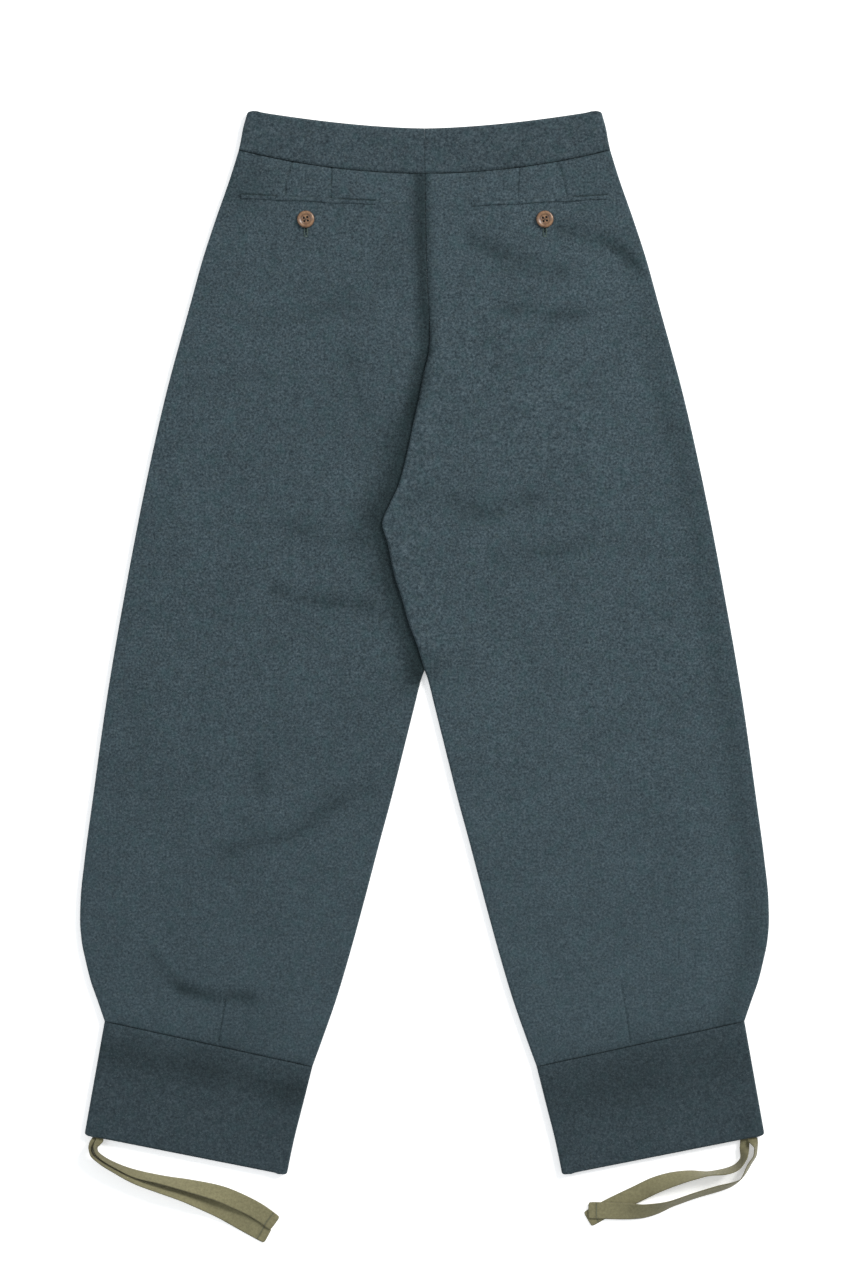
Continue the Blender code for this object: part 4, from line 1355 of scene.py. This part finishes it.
# Each row: x, y, how far the tape stands up in degrees, height of its lower edge
TIES = {
    "tie_left_lower": [
        (-337.5, -458, 0, 2.8), (-340.4, -485.2, 0, 2.8), (-343.7, -488.2, -38, 0.9),
        (-346.4, -491.8, -66, 0.1), (-345.9, -496.4, -74, 0), (-339.5, -502.8, -72, 0),
        (-321.7, -513.1, -66, 0), (-299.3, -523.8, -54, 0), (-276, -532.7, -57, 0),
        (-248.1, -541.7, -42, 0), (-217.3, -555.2, -12, 0), (-187.8, -571.8, 0, 0),
        (-163.5, -585.1, 0, 0),
    ],
    "tie_left_upper": [
        (-337, -458, 0, 4.1), (-338, -484.2, 0, 4.1), (-340.3, -487.8, -38, 3.7),
        (-342.3, -491, -66, 2.6), (-341.8, -495, -74, 1.2), (-337.6, -500.2, -72, 0),
        (-320.4, -510.4, -66, 0), (-300, -518.8, -52, 0), (-277.4, -524.1, -58, 0),
        (-245.5, -531.4, -44, 0), (-215.4, -539.6, -28, 0), (-195.4, -548, -12, 0.7),
        (-174.5, -558.8, -2, 1.3), (-156, -572, 0, 1.3),
    ],
    "tie_right_lower": [
        (335, -458, 0, 2.8), (334.2, -488.5, 0, 2.8), (333.7, -492.5, 16, 2.4),
        (333.4, -496, 36, 1.7), (333, -500, 54, 1.1), (331.2, -505, 70, 0.6),
        (324, -512.6, 74, 0.2), (312, -516.6, 80, 0), (298, -518.3, 86, 0), (278.5, -520.4, 66, 0),
        (262, -524, 47, 0), (243, -530.5, 26, 0), (222, -541, 4, 0), (192, -555.5, 0, 0),
        (170.3, -567.7, 0, 0),
    ],
    "tie_right_upper": [
        (336, -458, 0, 4.1), (338, -484, 0, 4.1), (341.6, -487.6, -38, 3.3),
        (344.4, -491.6, -66, 1.6), (344.2, -498, -70, 0.3), (338.6, -508.6, -70, 0),
        (329.8, -524.2, -78, 0), (319.2, -530.3, -67, 0), (304.6, -534.8, -60, 0),
        (282.7, -541.3, -61, 0), (260.2, -549.2, -60, 0), (238, -556.4, -38, 0.6),
        (224.2, -558.6, -24, 1.2), (210.6, -558.8, -8, 1.3), (190, -558.4, 0, 1.3),
        (171, -558, 0, 1.3),
    ],
}


# %% A place on a tape
def keyed_route(rows):
    """Adds to each row of a route how far along the tape it lies."""
    lengths = [0.0]
    for first, second in zip(rows, rows[1:]):
        lengths.append(lengths[-1] + math.hypot(second[0] - first[0], second[1] - first[1]))
    return [Keyed(length, *row) for length, row in zip(lengths, rows)]


def tape_place(keyed, at, half, lift=0.0):
    """A point on the tape: at along its length, half from -0.5 to 0.5 across it."""
    x, y, stand, rise = (curve_at(keyed, at, name) for name in ("x", "y", "stand", "rise"))
    ahead = Vector([
        curve_at(keyed, at + TAPE_TREND, name) - curve_at(keyed, at - TAPE_TREND, name)
        for name in ("x", "y")
    ]).normalized()
    aside = Vector((-ahead.y, ahead.x))
    cos, sin = math.cos(math.radians(stand)), math.sin(math.radians(stand))
    tall = TAPE_WIDTH / 2 * abs(sin) + TAPE_CLOTH / 2 * cos
    flat = half * TAPE_WIDTH * cos - lift * sin
    z = rise + tall + half * TAPE_WIDTH * sin + lift * cos
    return x + aside.x * flat, y + aside.y * flat, z


# A tape leaves its cuff folded, so it is narrower there, towards one line of its width
Folded = namedtuple("Folded", "to width until")
FOLDED = {
    "tie_left_lower": Folded(-0.3, 0.56, 46.0), "tie_left_upper": Folded(-0.1, 0.45, 170.0),
    "tie_right_lower": Folded(0.0, 0.56, 46.0), "tie_right_upper": Folded(0.5, 0.56, 46.0),
}

# %% Tapes
TAPE_ACROSS = 12
TAPE_WALL = 0.9
END_NARROWS = (0.05, 3.0)    # the end is drawn in at its corners, by this share, over 3 mm
END_ROUND = (1.2, 1.0)       # and its corners are set back
HEM_LINE = (0.75, 0.8)       # paint where the end is stitched
SELVEDGE = (0.25, 0.04)      # paint along both edges, in shares of the width
CUFF_PAINT = 0.5             # shade of the cuff on its tapes
CUFF_PAINT_END = (10, 80)    # distances from the hem between which it fades
HEM_STITCHES = 8
# One stitch: share of the tape's width from its start, height above the tape's middle
HEM_ARCH = ((0, 0.3), (0.02, 0.62), (0.08, 0.62), (0.1, 0.3))


def tape_point(name, keyed, at, half):
    """A point of a tape's grid, with the fold at the cuff and the round end corners."""
    folded = FOLDED[name]
    out = at - keyed[1].length
    narrow = folded.width + (1 - folded.width) * smoothstep(0, folded.until, out)
    half = folded.to + (half - folded.to) * narrow
    from_end = keyed[-1].length - at
    pull = 1 - stroke(END_NARROWS, from_end) * (2 * abs(half)) ** 4
    drawn = at - stroke(END_ROUND, from_end) * (2 * half) ** 6
    crease = stroke(HEM_LINE, from_end - HEM_LENGTH) + stroke(SELVEDGE, 0.5 - abs(half))
    crease += CUFF_PAINT * (1 - smoothstep(*CUFF_PAINT_END, out))
    return *tape_place(keyed, drawn, half * pull), crease


def hem_stitches(keyed):
    """A line of stitches across a tape, where its end is folded under."""
    at = keyed[-1].length - HEM_LENGTH
    lefts = [-0.45 + 0.9 * i / HEM_STITCHES for i in range(HEM_STITCHES)]
    return [[tape_place(keyed, at, left + share, lift) for share, lift in HEM_ARCH] for left in lefts]


ties = {}
for name, rows in TIES.items():
    keyed = keyed_route(rows)
    full = keyed[-1].length
    grid = [
        [tape_point(name, keyed, full * j / TAPE_STEPS, i / TAPE_ACROSS - 0.5)
         for i in range(TAPE_ACROSS + 1)]
        for j in range(TAPE_STEPS + 1)
    ]

    def threads_at(j, i, full=full):
        return full * j / TAPE_STEPS * MM, TAPE_WIDTH * i / TAPE_ACROSS * MM

    piece = shell(name.replace("tie", "tape"), grid, TAPE_WALL, 1, tape, 0.0, threads_at)
    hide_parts(name)
    seam = thread_runs(name.replace("tie", "tape_stitches"), hem_stitches(keyed), HEM_THREAD)
    ties[name] = (piece, seam, full)


# %% [markdown]
# ### Fly shield
# Inside the front opening a plain strip closes the gap between the two fronts. It can be
# seen only through the waist, so it is a simple shaped piece of the same wool.

# %% Fly shield
FLY_STEPS = 24
FLY_COLUMNS = 6
FLY_SLANT = 25           # how much higher its lower end is on one side
FLY_TOE = 0.3            # where that slant begins, as a share of half the width
low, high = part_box("fly_shield")
half = high.x / MM
fly_grid = []
for j in range(FLY_STEPS + 1):
    y = (low.y + (high.y - low.y) * j / FLY_STEPS) / MM
    row = []
    for i in range(FLY_COLUMNS + 1):
        across = 2 * i / FLY_COLUMNS - 1
        foot = low.y / MM + FLY_SLANT * smoothstep(FLY_TOE, 1.0, across)
        row.append((half * across, max(y, foot), low.z / MM, 0.0))
    fly_grid.append(row)
fly = cloth("fly_shield", fly_grid, (high.z - low.z) / MM, -1, wool)

# %% [markdown]


for piece, seam, full in ties.values():
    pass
